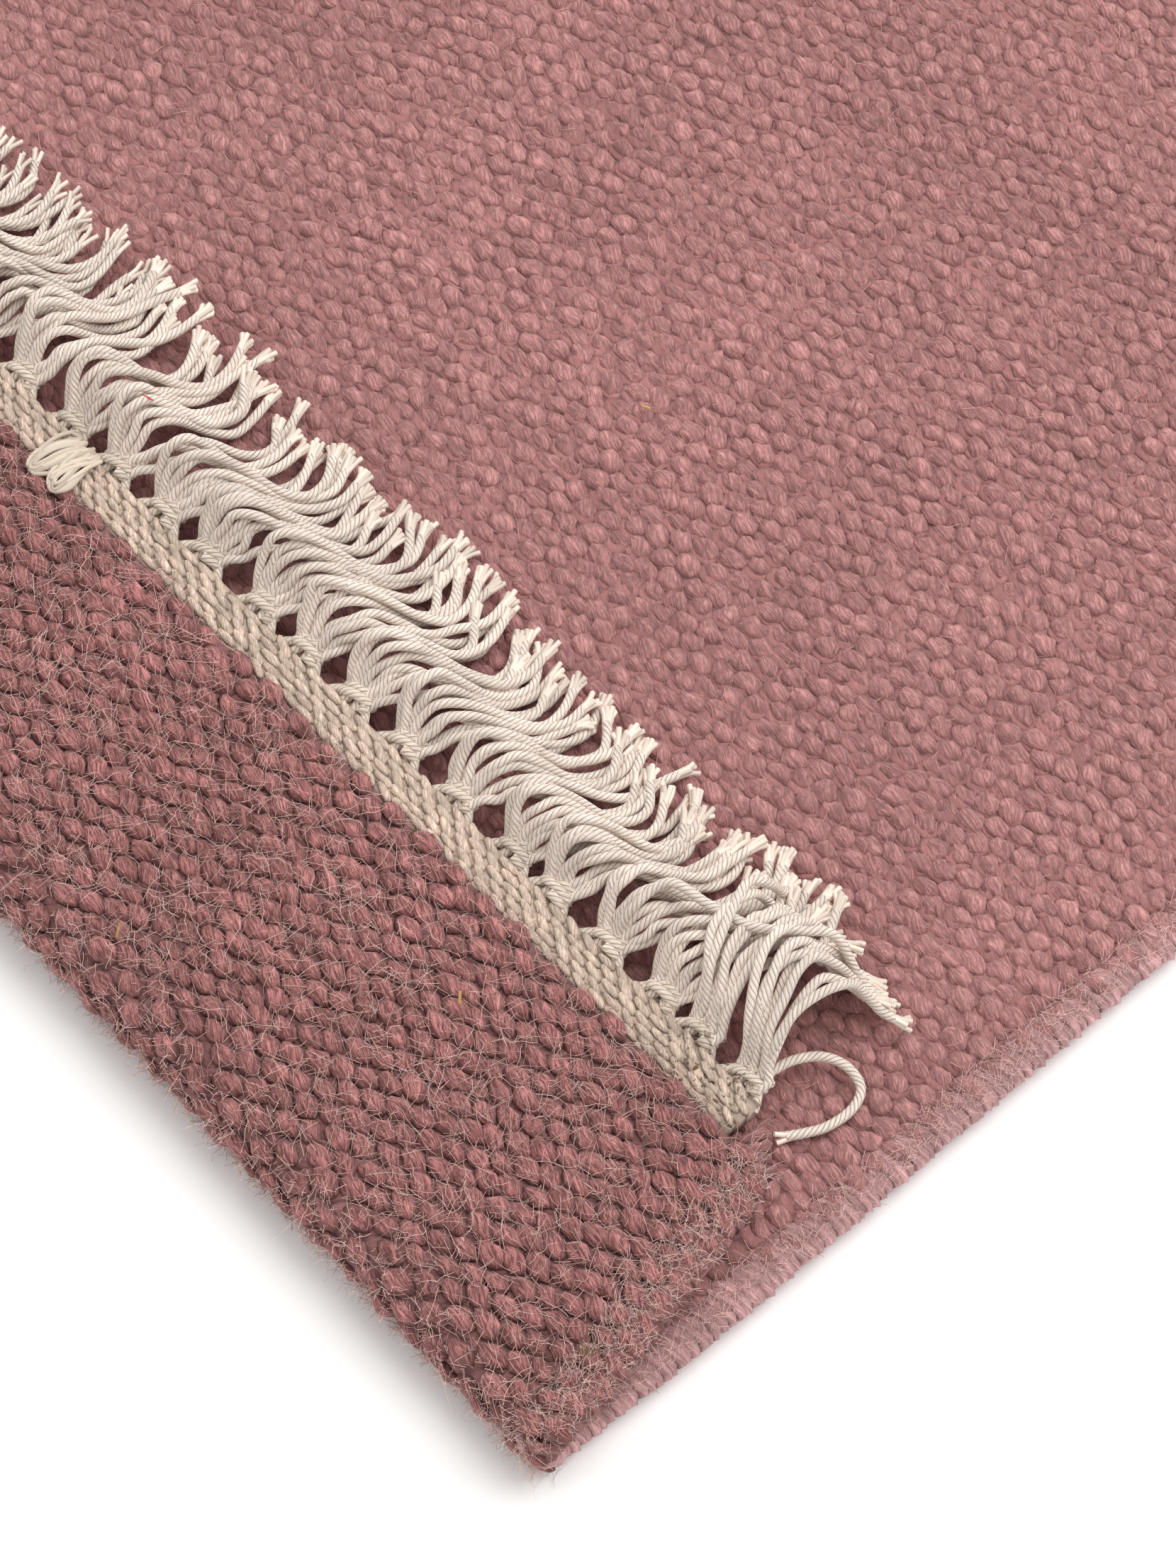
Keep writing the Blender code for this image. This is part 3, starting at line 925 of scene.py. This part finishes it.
# %% Wool beads
face_beads = made_by(
    beads,
    "face_weft",
    warp_line=warp,
    mould=face_mould,
    first_across=CORNER_ACROSS + 4 * MM,
    first_along=CORNER_ALONG + 4 * MM,
    columns=35,
    rows=112,
    warp_step=BEAD_PITCH,
    weft_step=WEFT_STEP,
    side=-1.0,
    lift=1.8 * MM,
    size=(2.85 * MM, 2.15 * MM, 1.42 * MM),
    slant=0.08,
    uneven=0.5 * MM,
    rough=2.7 * MM,
    seed=3,
    finish=face_wool,
)
FLAP_ACROSS = 66 * MM
flap_beads = made_by(
    beads,
    "flap_weft",
    warp_line=warp,
    mould=flap_mould,
    first_across=FLAP_ACROSS,
    first_along=cloth_run - BAND_WIDTH - 1.2 * MM - 30 * WEFT_STEP,
    columns=30,
    rows=31,
    warp_step=BEAD_PITCH,
    weft_step=WEFT_STEP,
    side=1.0,
    lift=1.75 * MM,
    size=(3.15 * MM, 1.92 * MM, 1.62 * MM),
    slant=-0.06,
    uneven=0.36 * MM,
    rough=1.9 * MM,
    seed=8,
    finish=flap_wool,
)
# %% Cotton rows of the bands
BAND_PITCH = BEAD_PITCH / 2
BAND_STEP = 1.62 * MM
BAND_EDGE = 0.85 * MM
band_wefts = {}
for end, side, first_along, half_width, mould in (
    ("far", -1.0, BAND_EDGE, 289 * MM, plain_mould),
    ("flap", 1.0, cloth_run - BAND_EDGE - 4 * BAND_STEP, 279 * MM, face_mould),
):
    band_wefts[end] = made_by(
        beads,
        f"band_{end}_weft",
        warp_line=warp,
        mould=mould,
        first_across=-half_width,
        first_along=first_along,
        columns=round(2 * half_width / BAND_PITCH),
        rows=5,
        warp_step=BAND_PITCH,
        weft_step=BAND_STEP,
        side=side,
        lift=1.55 * MM,
        size=(2.6 * MM, 0.82 * MM, 0.95 * MM),
        slant=-0.22 * side,
        uneven=0.14 * MM,
        rough=0.35 * MM,
        seed=5,
        finish=band_yarn,
    )

# %% [markdown]
# ## Wrapped selvedges
#
# Each long edge is bound: paler wool is wound round the outer warps, turn
# beside turn. A core tube follows the edge, and slightly tilted rings of
# yarn stand along it at one turn's spacing.

# %% Lines and sweeps
def resampled(w, curve, step):
    return w.geo("ResampleCurve", curve, named={"Length": step}, mode="LENGTH")


def circle(w, sides, radius):
    return w.geo("CurvePrimitiveCircle", sides, named={"Radius": radius}, out="Curve")


def swept(w, curve, outline):
    return w.geo("CurveToMesh", curve, outline, named={"Fill Caps": True})

# %% Wrapped selvedges
w = new_group(
    "wrapped edge",
    GEOMETRY,
    {
        "object": "Edge line, Ring",
        "int": "Seed",
        "float": "Step, Core radius, Wide, Tilt, Rough",
        "material": "Finish",
    },
)
wraps = w.tree
curve = w.geo("MeshToCurve", given_shape(w, "Edge line"))
core = swept(w, resampled(w, curve, 4 * MM), circle(w, 8, w["Core radius"]))
off_x, off_y, off_z = uneven(w)
tilt = w["Tilt"] + off_x * 0.12
swell = off_z * 0.05 + 1.0
rings = placed(
    w,
    resampled(w, curve, w["Step"]),
    given_shape(w, "Ring"),
    turned(w, w.geo("InputTangent"), (0, 0, 1), w.joined(tilt, off_y * 0.1)),
    w.joined(swell, swell * w["Wide"], 1.0),
    off_z * 0.5 + 0.5,
)
both = w.geo("JoinGeometry", rings)
w.tree.links.new(core.socket, both.socket.node.inputs[0])
hand_out(w, roughened(w, both))

# %% One turn of wrapping
def ring_mould(name, around, sides):
    """One turn of wrapping yarn, which remembers its way round and how far out each point lies, for the
    painted shade where it turns in towards the core.
    """
    bm = bmesh.new()
    on_yarn = bm.verts.layers.float_vector.new("yarn")
    rows = []
    for k in range(around):
        share = k / around
        angle = 2 * math.pi * share
        ring = []
        for j in range(sides):
            turn = j / sides
            section = 2 * math.pi * turn
            out = 2.35 * MM + 0.8 * MM * math.cos(section)
            height = 1.2 * MM * math.sin(section)
            vert = bm.verts.new((out * math.cos(angle), out * math.sin(angle), height))
            vert[on_yarn] = (2 * share - 1, turn, math.cos(section))
            ring.append(vert)
        rows.append(ring)
    for k in range(around):
        one, other = rows[k], rows[(k + 1) % around]
        for j in range(sides):
            after = (j + 1) % sides
            bm.faces.new((one[j], other[j], other[after], one[after]))
    return cast(name, bm)

# %% The selvedges' ways
def edge_points(side, inset):
    """A selvedge's way: lower edge, fold, flap and the hook at the flap's corner."""
    first = Place(far_band_y - 3 * MM, THICKNESS / 2, LOWER_ROWS[-1].half_width, 0)
    last = Place(front_y + HOOK.at, HOOK.height, HOOK.half_width, HOOK.at)
    points = []
    for place in (first, *wool_places(), last):
        edge = side * place.half_width
        lean = FLAP_SKEW * (edge - SQUARE_AT) * place.reach / FLAP_REACH
        points.append((side * (place.half_width - inset), place.y + lean, place.height))
    return points


FOLD_HEIGHT = THICKNESS / 2 + FOLD_RADIUS
LOWER_INSET = 4.3 * MM
lower_edge = [point for point in edge_points(1, LOWER_INSET) if point[2] <= FOLD_HEIGHT]
turned_edge = [point for point in edge_points(1, BINDING_RADIUS) if point[2] >= FOLD_HEIGHT]
other_edge = edge_points(-1, LOWER_INSET)
fine_ring = ring_mould("fine ring", 11, 5)
plain_ring = ring_mould("plain ring", 7, 3)

# %% Both selvedges
Edge = namedtuple("Edge", "place points ring step wide tilt rough finish")
EDGES = (
    Edge("right", lower_edge, fine_ring, 1.65 * MM, 1.4, 0.3, 1.2 * MM, wrap_wool),
    Edge("right_turned", turned_edge, fine_ring, 2.0 * MM, 1.0, 0.5, 2.4 * MM, edge_wool),
    Edge("left", other_edge, plain_ring, 2.1 * MM, 1.4, -0.3, 1.5 * MM, wrap_wool),
)
selvedges = {
    edge.place: made_by(
        wraps,
        f"wrapped_selvedge_{edge.place}",
        edge_line=guide(f"{edge.place} edge line", line_mesh(edge.place, edge.points)),
        core_radius=2.6 * MM,
        seed=21,
        **edge._asdict(),
    )
    for edge in EDGES
}

# %% [markdown]
# ## Twisted cords
#
# The warps end in hard-twisted cotton cords of several plies. A cord is a
# line swept by a round outline. The tree smooths the line first, so a few
# points are enough for each cord. It also stores how far along and which way
# round each point is, and the material winds the plies from those.

# %% Twisted cords
def thrown(w, low, high, extra=0):
    """A random number for each element, from low to high."""
    named = {2: low, 3: high, "Seed": w["Seed"] + extra}
    return w.add("FunctionNodeRandomValue", named=named, data_type="FLOAT", out=1)


w = new_group(
    "twisted cords",
    GEOMETRY,
    {
        "object": "Lines",
        "int": "Outline points, Seed",
        "float": "Radius, Step, Taper",
        "material": "Finish",
    },
)
cords = w.tree
print("sockets:", [s.name for s in cords.interface.items_tree])
curve = w.geo("MeshToCurve", given_shape(w, "Lines"))
smooth = resampled(w, w.geo("CurveSplineType", curve, spline_type="CATMULL_ROM"), w["Step"])
run = w.geo("SplineParameter")
smooth = w.geo("SetCurveRadius", smooth, None, 1.0 - run["Factor"] * w["Taper"])
smooth = stored(w, smooth, "run", run["Length"])
smooth = stored(w, smooth, "tone", thrown(w, 0.0, 1.0), "CURVE")
outline = circle(w, w["Outline points"], w["Radius"])
outline = stored(w, outline, "ring", w.vector("NORMALIZE", w.geo("InputPosition")))
hand_out(w, swept(w, smooth, outline), smooth=True)

CORD_RADIUS = 0.88 * MM
RUG_TOP = 6.1 * MM + CORD_RADIUS
KNOT_OUT = 2.6 * MM
KNOT_PITCH = 12.26 * MM
KNOT_COUNT = 46
FLAP_KNOT_HEIGHT = 10.6 * MM
FAR_KNOT_HEIGHT = 3.1 * MM
CORDS_IN_BUNCH = 8

# %% [markdown]
# ## Bunches of the photographed corner
#
# Sixteen bunches show. Each was measured: where its knot stands across the
# rug, which way its cords are swept, how far they reach and how high they
# arch. The last two lie heaped over their neighbours.

# %% Bunches
Step = namedtuple("Step", "out aside rise fan")
ROUTE = (
    Step(-0.8, 0.0, 0.00, 2.6),
    Step(0.8, 0.0, 0.10, 3.0),
    Step(2.0, -0.1, 0.34, 4.1),
    Step(3.7, 0.0, 0.68, 5.2),
    Step(6.0, 0.7, 0.94, 5.8),
    Step(9.2, 2.7, 0.96, 5.6),
    Step(12.8, 5.8, 0.60, 5.1),
    Step(16.2, 9.4, 0.22, 4.7),
    Step(19.8, 12.2, 0.05, 4.8),
    Step(24.2, 13.0, 0.02, 5.1),
    Step(28.4, 11.8, 0.03, 5.5),
)
HEAP = (
    *ROUTE[:2],
    Step(2.2, -0.8, 0.30, 2.6),
    Step(4.8, -3.0, 0.66, 3.2),
    Step(9.5, -5.8, 0.92, 3.8),
    Step(14.5, -7.4, 1.00, 4.2),
    Step(18.8, -7.6, 0.96, 4.2),
    Step(22.0, -6.2, 0.70, 4.2),
    Step(24.2, -4.6, 0.34, 4.2),
    Step(25.6, -3.4, 0.08, 4.8),
    Step(26.8, -2.2, 0.00, 5.6),
)

# %% Measured bunches
Bunch = namedtuple("Bunch", "across sweep length top rest step_down route", defaults=(2.7, ROUTE))
CORNER_BUNCHES = (
    Bunch(94.1, 0.50, 1.02, 22.4, 8.2),
    Bunch(107.6, 0.65, 1.05, 22.0, 7.8),
    Bunch(118.9, 0.75, 1.00, 21.5, 7.4),
    Bunch(131.2, 0.85, 1.00, 21.0, 7.2),
    Bunch(142.5, 0.95, 0.98, 20.6, 7.2),
    Bunch(156.4, 1.00, 1.06, 20.8, 7.2),
    Bunch(167.8, 1.00, 1.06, 20.8, 7.4),
    Bunch(180.4, 1.00, 0.98, 21.0, 7.2),
    Bunch(192.7, 1.00, 1.00, 21.0, 7.2),
    Bunch(205.8, 1.00, 1.02, 21.0, 7.2),
    Bunch(219.8, 0.95, 0.96, 21.0, 7.4),
    Bunch(229.5, 0.85, 0.98, 20.6, 8.0),
    Bunch(242.6, 0.70, 1.02, 20.8, 9.0),
    Bunch(255.5, 0.45, 1.04, 21.6, 10.2),
    Bunch(264.9, 0.80, 1.00, 23.4, 9.6, 1.6, HEAP),
    Bunch(276.2, 1.00, 1.00, 24.6, 8.6, 1.6, HEAP),
)

# %% One cord
def band_edge_y(x):
    """The outer edge of the flap's band."""
    return front_y + FLAP_REACH + FLAP_SKEW * (x - SQUARE_AT)


def cord_route(bunch, fan, layer, throw):
    """One cord: through its knot, over in an arch and down on the rug."""
    sweep = bunch.sweep * throw(0.8, 1.15)
    stretch = bunch.length * throw(0.86, 1.12)
    start = 9.8 + 1.3 * layer + throw(-0.2, 0.2)
    top = bunch.top - bunch.step_down * (fan + 1) + throw(-1.8, 0.8)
    rest = bunch.rest + 1.2 * layer + throw(0, 1.4)
    wander = throw(-2.7, 2.7)
    slip = throw(-0.45, 0.45)
    hook = throw(-3.0, 2.4)
    points = []
    for step in bunch.route:
        loose = min(1.0, max(0.0, step.out - 2) / 16)
        base = rest if step.out > 3 else start
        spread = (fan + slip * loose) * step.fan + wander * loose
        jog = throw(-0.65, 0.65) if loose else 0
        tip = max(0.0, (step.out - 18) / 10) ** 2
        x = bunch.across + spread + sweep * step.aside + hook * tip + jog
        out = step.out * (stretch if step.out > 0 else 1)
        points.append((x, out, base + (top - base) * step.rise))
    knot_y = band_edge_y(bunch.across * MM) + KNOT_OUT
    return [Vector((x * MM, knot_y + out * MM, z * MM)) for x, out, z in points]

# %% Knots and frayed ends
def knot_routes(centre, throw, turns=2.7):
    """A knot: warps gathered out of the band, and the turns that tie them together."""
    made = []
    for k in range(4):
        fan = 2 * k / 3 - 1 + throw(-0.1, 0.1)
        rows = ((-3.9, 5.0, -0.9), (-2.4, 4.1, -0.3), (-0.8, 2.7, 0.1), (1.0, 1.9, 0.0))
        made.append([centre + Vector((fan * wide, out, up)) * MM for out, wide, up in rows])
    tie = []
    start = throw(0, 0.8)
    lean = throw(-0.7, 0.2)
    for k in range(int(turns * 9) + 1):
        angle = 2 * math.pi * k / 9 + start
        x = 3.0 * math.sin(angle)
        z = 1.6 * math.cos(angle)
        y = (k / 9 - turns / 2) * 1.55 - lean * math.sin(angle)
        tie.append(centre + Vector((x, y, z)) * MM)
    return [*made, tie]


def frayed(route, throw, strands, reach=3.4 * MM):
    """The opened plies at a cord's end, which spread like a small brush."""
    tip = route[-1]
    heading = (route[-1] - route[-2]).normalized()
    aside = heading.cross(Vector((0, 0, 1))).normalized()
    above = aside.cross(heading)
    floor_z = (RUG_TOP if tip.z > 6 * MM else CORD_RADIUS) - 0.4 * MM
    made = []
    for k in range(strands):
        angle = 2 * math.pi * k / strands + throw(-0.3, 0.3)
        way = aside * math.cos(angle) + above * (0.7 * math.sin(angle) + 0.1)
        length = reach * throw(0.65, 1.15)
        start = tip - heading * 1.4 * MM + way * 0.3 * MM
        middle = tip + heading * length * 0.5 + way * throw(0.5, 0.8) * MM
        end = tip + heading * length * 0.95 + way * throw(0.6, 1.6) * MM
        end.z = max(end.z, floor_z)
        made.append([start, middle, end])
    return made

# %% Pieces of cord
def lines_guide(name, routes):
    """Many separate lines in one guide."""
    points, edges = [], []
    for route in routes:
        edges += [(len(points) + k, len(points) + k + 1) for k in range(len(route) - 1)]
        points += [tuple(point) for point in route]
    mesh = bpy.data.meshes.new(name)
    mesh.from_pydata(points, edges, [])
    return guide(name, mesh)


Quality = namedtuple("Quality", "outline step")
FINE = Quality(9, 1.1 * MM)
PLAIN = Quality(5, 2.6 * MM)
Brush = namedtuple("Brush", "radius quality taper")
FINE_BRUSH = Brush(0.5 * MM, Quality(4, 1.2 * MM), 0.3)
PLAIN_BRUSH = Brush(0.45 * MM, Quality(3, 1.6 * MM), 0.35)


def cord_piece(name, routes, radius, quality, seed, taper=0.0, finish=cord_cotton):
    return made_by(
        cords,
        name,
        lines=lines_guide(name + " lines", routes),
        radius=radius,
        outline_points=quality.outline,
        step=quality.step,
        taper=taper,
        seed=seed,
        finish=finish,
    )


def fringe_pieces(part, routes, seed, quality, tie, brush):
    """A fringe's cords, its knots and its frayed ends, one piece each."""
    name = f"fringe_{part}_"
    ends = brush.radius, brush.quality, seed + 2, brush.taper, cotton_tuft
    return (
        cord_piece(name + "cords", routes["cords"], CORD_RADIUS, quality, seed),
        cord_piece(name + "knots", routes["knots"], tie, quality, seed + 1, finish=knot_cotton),
        cord_piece(name + "ends", routes["ends"], *ends),
    )


def bunch_routes(bunches, seed, strands):
    """Cords, knots and frayed ends of several bunches."""
    throw = random.Random(seed).uniform
    made = {"cords": [], "knots": [], "ends": []}
    for bunch in bunches:
        for k in range(CORDS_IN_BUNCH):
            fan = 2 * k / (CORDS_IN_BUNCH - 1) - 1
            route = cord_route(bunch, fan, k % 2, throw)
            made["cords"].append(route)
            made["ends"] += frayed(route, throw, strands)
        x = bunch.across * MM
        centre = Vector((x, band_edge_y(x) + KNOT_OUT, FLAP_KNOT_HEIGHT))
        made["knots"] += knot_routes(centre, throw)
    return made

# %% The corner's fringe
LOOP = (
    (276.8, -366.5, 10.2),
    (277.5, -362.3, 10.4),
    (278.5, -357.3, 10.6),
    (281.0, -352.6, 9.8),
    (284.8, -350.3, 8.8),
    (288.9, -350.9, 8.0),
    (290.6, -354.6, 7.4),
    (290.2, -359.6, 7.2),
    (288.6, -363.4, 7.2),
    (286.9, -366.4, 7.2),
)
STRAY = (
    (242.6, -367.5, 10.4),
    (242.8, -364.9, 10.6),
    (242.6, -361.0, 17.5),
    (244.2, -354.5, 21.2),
    (251.6, -352.4, 21.4),
    (259.6, -349.9, 22.0),
    (265.3, -344.9, 22.6),
    (268.8, -340.4, 21.0),
    (272.4, -339.2, 16.5),
    (275.8, -338.6, 11.5),
    (279.4, -336.9, 8.6),
)
corner = bunch_routes(CORNER_BUNCHES, 40, 6)
loop_route = [Vector(point) * MM for point in LOOP]
stray_route = [Vector(point) * MM for point in STRAY]
corner["cords"] += [loop_route, stray_route]
corner["ends"] += frayed(stray_route, random.Random(6).uniform, 6)
corner["ends"] += frayed(loop_route, random.Random(4).uniform, 4, 2.5 * MM)
corner_pieces = fringe_pieces("corner", corner, 1, FINE, 0.86 * MM, FINE_BRUSH)

# %% [markdown]
# ## The rest of the fringe
#
# Past the picture the flap's fringe goes on at an even angle, and the far
# end's fringe lies straight out on the ground. Their cords have fewer faces.

# %% Flap fringe past the picture
PLAIN_TIE = 0.8 * MM
rest_bunches = []
for k in range(KNOT_COUNT - len(CORNER_BUNCHES)):
    across = CORNER_BUNCHES[0].across - (k + 1) * KNOT_PITCH / MM
    rest_bunches.append(Bunch(across, 0.72 + 0.08 * math.sin(k), 1.0, 21.0, 7.2))
rest = bunch_routes(rest_bunches, 41, 3)
rest_pieces = fringe_pieces("flap", rest, 4, PLAIN, PLAIN_TIE, PLAIN_BRUSH)

# %% Far fringe
FAR_REACH_MM = 38
throw = random.Random(5).uniform
first_knot = -(KNOT_COUNT - 1) / 2 * KNOT_PITCH
knot_places = [
    first_knot + k * KNOT_PITCH + throw(-0.5 * MM, 0.5 * MM) for k in range(KNOT_COUNT)
]


def far_routes(seed):
    """Cords that leave the far band's knots and lie straight out on the ground."""
    throw = random.Random(seed).uniform
    made = {"cords": [], "knots": [], "ends": []}
    ground = 1.0
    for knot_x in knot_places:
        lean = throw(-2, 2)
        knot_y = far_band_y + KNOT_OUT
        for k in range(CORDS_IN_BUNCH):
            fan = 2 * k / (CORDS_IN_BUNCH - 1) - 1
            reach = FAR_REACH_MM - throw(0, 6)
            rows = ((-0.8, 2.8, 2.2), (1, 2.7, 2.2), (5, 1.8, 3.4), (14, ground, 4.9))
            points = [(knot_x / MM + fan * wide, out, z) for out, z, wide in rows]
            wander = throw(-1, 1)
            points.append((knot_x / MM + fan * 5.0 + 0.6 * lean + wander, reach * 0.7, ground))
            points.append((knot_x / MM + fan * 5.2 + lean + wander, reach - 4, ground))
            route = [Vector((x * MM, knot_y + out * MM, z * MM)) for x, out, z in points]
            made["cords"].append(route)
            made["ends"] += frayed(route, throw, 3)
        made["knots"] += knot_routes(Vector((knot_x, knot_y, FAR_KNOT_HEIGHT)), throw)
    return made


far = far_routes(42)
far_pieces = fringe_pieces("far", far, 7, PLAIN, PLAIN_TIE, PLAIN_BRUSH)

# %% [markdown]
# ## Small accidents
#
# A wad of cotton yarn is caught on the band, bits of straw sit in the wool,
# and one red fibre lies on a cord. Such bits say that the rug is hand made.

# %% Wad of yarn
WAD = Vector((113.4, -375.4, 13.0)) * MM


def wad_routes():
    """Loose yarn bent into hairpins, which lie in two low heaps side by side."""
    throw = random.Random(12).uniform
    made = []
    for k in range(12):
        heap = 1 if k % 2 else -1
        half = 0.5 + 0.44 * (k // 2)
        long = 3.7 + 0.18 * (k // 2) + throw(-0.5, 0.5)
        lean = throw(-0.3, 0.3) - 0.1 * heap
        route = []
        for j in range(11):
            angle = math.pi * (1.25 * j / 10 - 0.125)
            aside = half * math.cos(angle) * (1 + 0.25 * math.sin(angle))
            out = long * (0.9 - 1.9 * math.sin(angle))
            x = 1.9 * heap + aside + lean * out + throw(-0.2, 0.2)
            crown = 1 - (out / 5.5) ** 2
            z = (2.3 - 0.42 * half) * crown + throw(-0.15, 0.15) - 0.6
            route.append(WAD + Vector((x, out, z)) * MM)
        made.append(route)
    return made


wad = cord_piece("cotton_wad", wad_routes(), 0.42 * MM, Quality(7, 0.8 * MM), 10, finish=wad_cotton)

# %% Straw and red fibre
Bit = namedtuple("Bit", "x y z length turn")
STRAW_BITS = (
    Bit(235.2, -393.0, 14.7, 2.2, 2.4),
    Bit(189.2, -427.6, 14.7, 2.4, 2.2),
    Bit(143.0, -421.0, 14.3, 1.6, 2.3),
    Bit(168.0, -286.0, 7.4, 1.6, 0.4),
)


def bit_route(bit):
    half = Vector((math.cos(bit.turn), math.sin(bit.turn), 0.15)) * bit.length / 2
    centre = Vector((bit.x, bit.y, bit.z))
    return [(centre - half) * MM, (centre + Vector((0, 0, 0.1))) * MM, (centre + half) * MM]


SHORT = 0.8 * MM
straw_routes = [bit_route(bit) for bit in STRAW_BITS]
straw = cord_piece("straw_bits", straw_routes, 0.28 * MM, Quality(5, SHORT), 11, 0.3, straw_bits)
red_route = bit_route(Bit(116.6, -358.2, 21.3, 2.1, 0.2))
red = cord_piece("red_fibre", [red_route], 0.17 * MM, Quality(4, SHORT), 12, 0.3, red_fibre)

# %% [markdown]
# ## Fuzz
#
# Loose wool fibres stand out of the cloth, most of all on the fold and the
# flap. Each one starts as a straight line on a random place, is turned away
# from the cloth, curled by noise, and swept as a thin three-sided fibre.

# %% Fuzz
w = new_group(
    "loose fibres",
    GEOMETRY,
    {
        "object": "Warp line",
        "int": "Count, Joints, Seed",
        "float": "Across from, Across to, Along from, Along to, Side, Lift, "
        "Shortest, Longest, Steepest, Curl, Radius",
        "material": "Finish",
    },
)
fuzz = w.tree
place = w.group(
    cloth_place,
    Line=given_shape(w, "Warp line"),
    Across=thrown(w, w["Across from"], w["Across to"], 0),
    Along=thrown(w, w["Along from"], w["Along to"], 1),
    Side=w["Side"],
    Lift=w["Lift"],
)
lean = w.joined(thrown(w, w["Steepest"], 1.6, 2), 0.0, thrown(w, 0.0, 6.28, 3))
size = thrown(w, w["Shortest"], w["Longest"], 4)
fibre = w.geo("CurvePrimitiveLine", (0, 0, 0), (0, 0, 1), out="Curve")
fibre = placed(
    w,
    w.geo("Points", w["Count"], place["Point"], MM),
    w.geo("ResampleCurve", fibre, None, w["Joints"], mode="COUNT"),
    turned(w, place["Out"], (1, 0, 0), lean),
    w.joined(size, size, size),
    thrown(w, 0.0, 1.0, 5),
)
here = w.geo("InputPosition")
share = w.geo("SplineParameter", out="Factor")
which = w.geo("CurveOfPoint", out="Curve Index")
push = w.noise(here * 130.0 + w.joined(which * 3.7))["Color"] - (0.5, 0.5, 0.5)
fibre = on_floor(w, fibre, here + push * (share * w["Curl"]))
fibre = w.geo("SetCurveRadius", fibre, None, 1.0 - share * 0.6)
hand_out(w, swept(w, fibre, circle(w, 3, w["Radius"])), smooth=True)

# %% Patches of fuzz
FLAP_START, FLAP_END = cloth_run - FLAP_REACH - 6 * MM, cloth_run - BAND_WIDTH
FLAP_RUN, FOLD_RUN = (FLAP_START, FLAP_END), (FLAP_START - 3 * MM, FLAP_START + 12 * MM)
FLAP_WIDE, EDGE_WIDE = (0.075, 0.303), (0.296, 0.304)
FACE_AREA = (0.03, 0.3), (0.55, 0.77)
SIDE_AREA = (0.298, 0.304), (0.64, 0.822)
PATCH_FIELDS = "name count across along side lift length joints steepest curl radius finish"
Patch = namedtuple("Patch", PATCH_FIELDS)
PATCHES = (
    Patch("flap_fuzz", 7000, FLAP_WIDE, FLAP_RUN, 1.0, 3.2, (1.5, 4.0), 3, 1.2, 1.8, 0.05, fuzz_wool),
    Patch("flap_hairs", 1900, FLAP_WIDE, FLAP_RUN, 1.0, 3.2, (3.0, 8.0), 6, 1.0, 6.0, 0.035, hair_wool),
    Patch("edge_fuzz", 1300, EDGE_WIDE, FLAP_RUN, 1.0, 2.2, (1.5, 5.0), 5, 0.3, 4.0, 0.035, hair_wool),
    Patch("fold_fuzz", 3700, FLAP_WIDE, FOLD_RUN, 1.0, 2.9, (0.8, 3.0), 3, 0.2, 2.0, 0.05, haze_wool),
    Patch("face_fuzz", 1500, *FACE_AREA, -1.0, 3.1, (1.2, 3.5), 3, 1.0, 2.0, 0.045, fuzz_wool),
    Patch("selvedge_fuzz", 2200, *SIDE_AREA, -1.0, 3.0, (1.2, 3.4), 3, 0.5, 2.0, 0.045, haze_wool),
)
fuzzes = [
    made_by(
        fuzz,
        patch.name,
        warp_line=warp,
        count=patch.count,
        across_from=patch.across[0],
        across_to=patch.across[1],
        along_from=patch.along[0],
        along_to=patch.along[1],
        side=patch.side,
        lift=patch.lift * MM,
        shortest=patch.length[0] * MM,
        longest=patch.length[1] * MM,
        joints=patch.joints,
        steepest=patch.steepest,
        curl=patch.curl * MM,
        radius=patch.radius * MM,
        seed=60 + k * 10,
        finish=patch.finish,
    )
    for k, patch in enumerate(PATCHES)
]

# %% [markdown]
# ## Pieces on the rug's body
#
# The moulds and lines have done their work and go. Each piece then rides on
# the rug's one body, and the solids that the pieces stand for are hidden.

# %% Pieces on their body
for helper in guides:
    bpy.data.objects.remove(helper, do_unlink=True)

corner_cords, *corner_ties = corner_pieces
rest_cords, *rest_ties = rest_pieces
far_cords, *far_ties = far_pieces
Job = namedtuple("Job", "slot pieces nodes", defaults=((),))
JOBS = (
    Job("wool", [wool_sheet], ("wool_cloth",)),
    Job("wool", [face_beads, flap_beads, straw, red, *fuzzes]),
    Job("selvedge_wool", [selvedges["right"], selvedges["right_turned"]], ("selvedge_right",)),
    Job("selvedge_wool", [selvedges["left"]], ("selvedge_left",)),
    Job("cotton", [band_sheets["flap"]], ("band_flap",)),
    Job("cotton", [band_sheets["far"]], ("band_far",)),
    Job("cotton", [corner_cords, rest_cords], ("fringe_flap",)),
    Job("cotton", [far_cords], ("fringe_far",)),
    Job("cotton", [*band_wefts.values(), *corner_ties, *rest_ties, *far_ties, wad]),
)
for job in JOBS:
    for piece in job.pieces:
        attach(piece, "root")
        if job.nodes:
            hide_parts(*job.nodes)
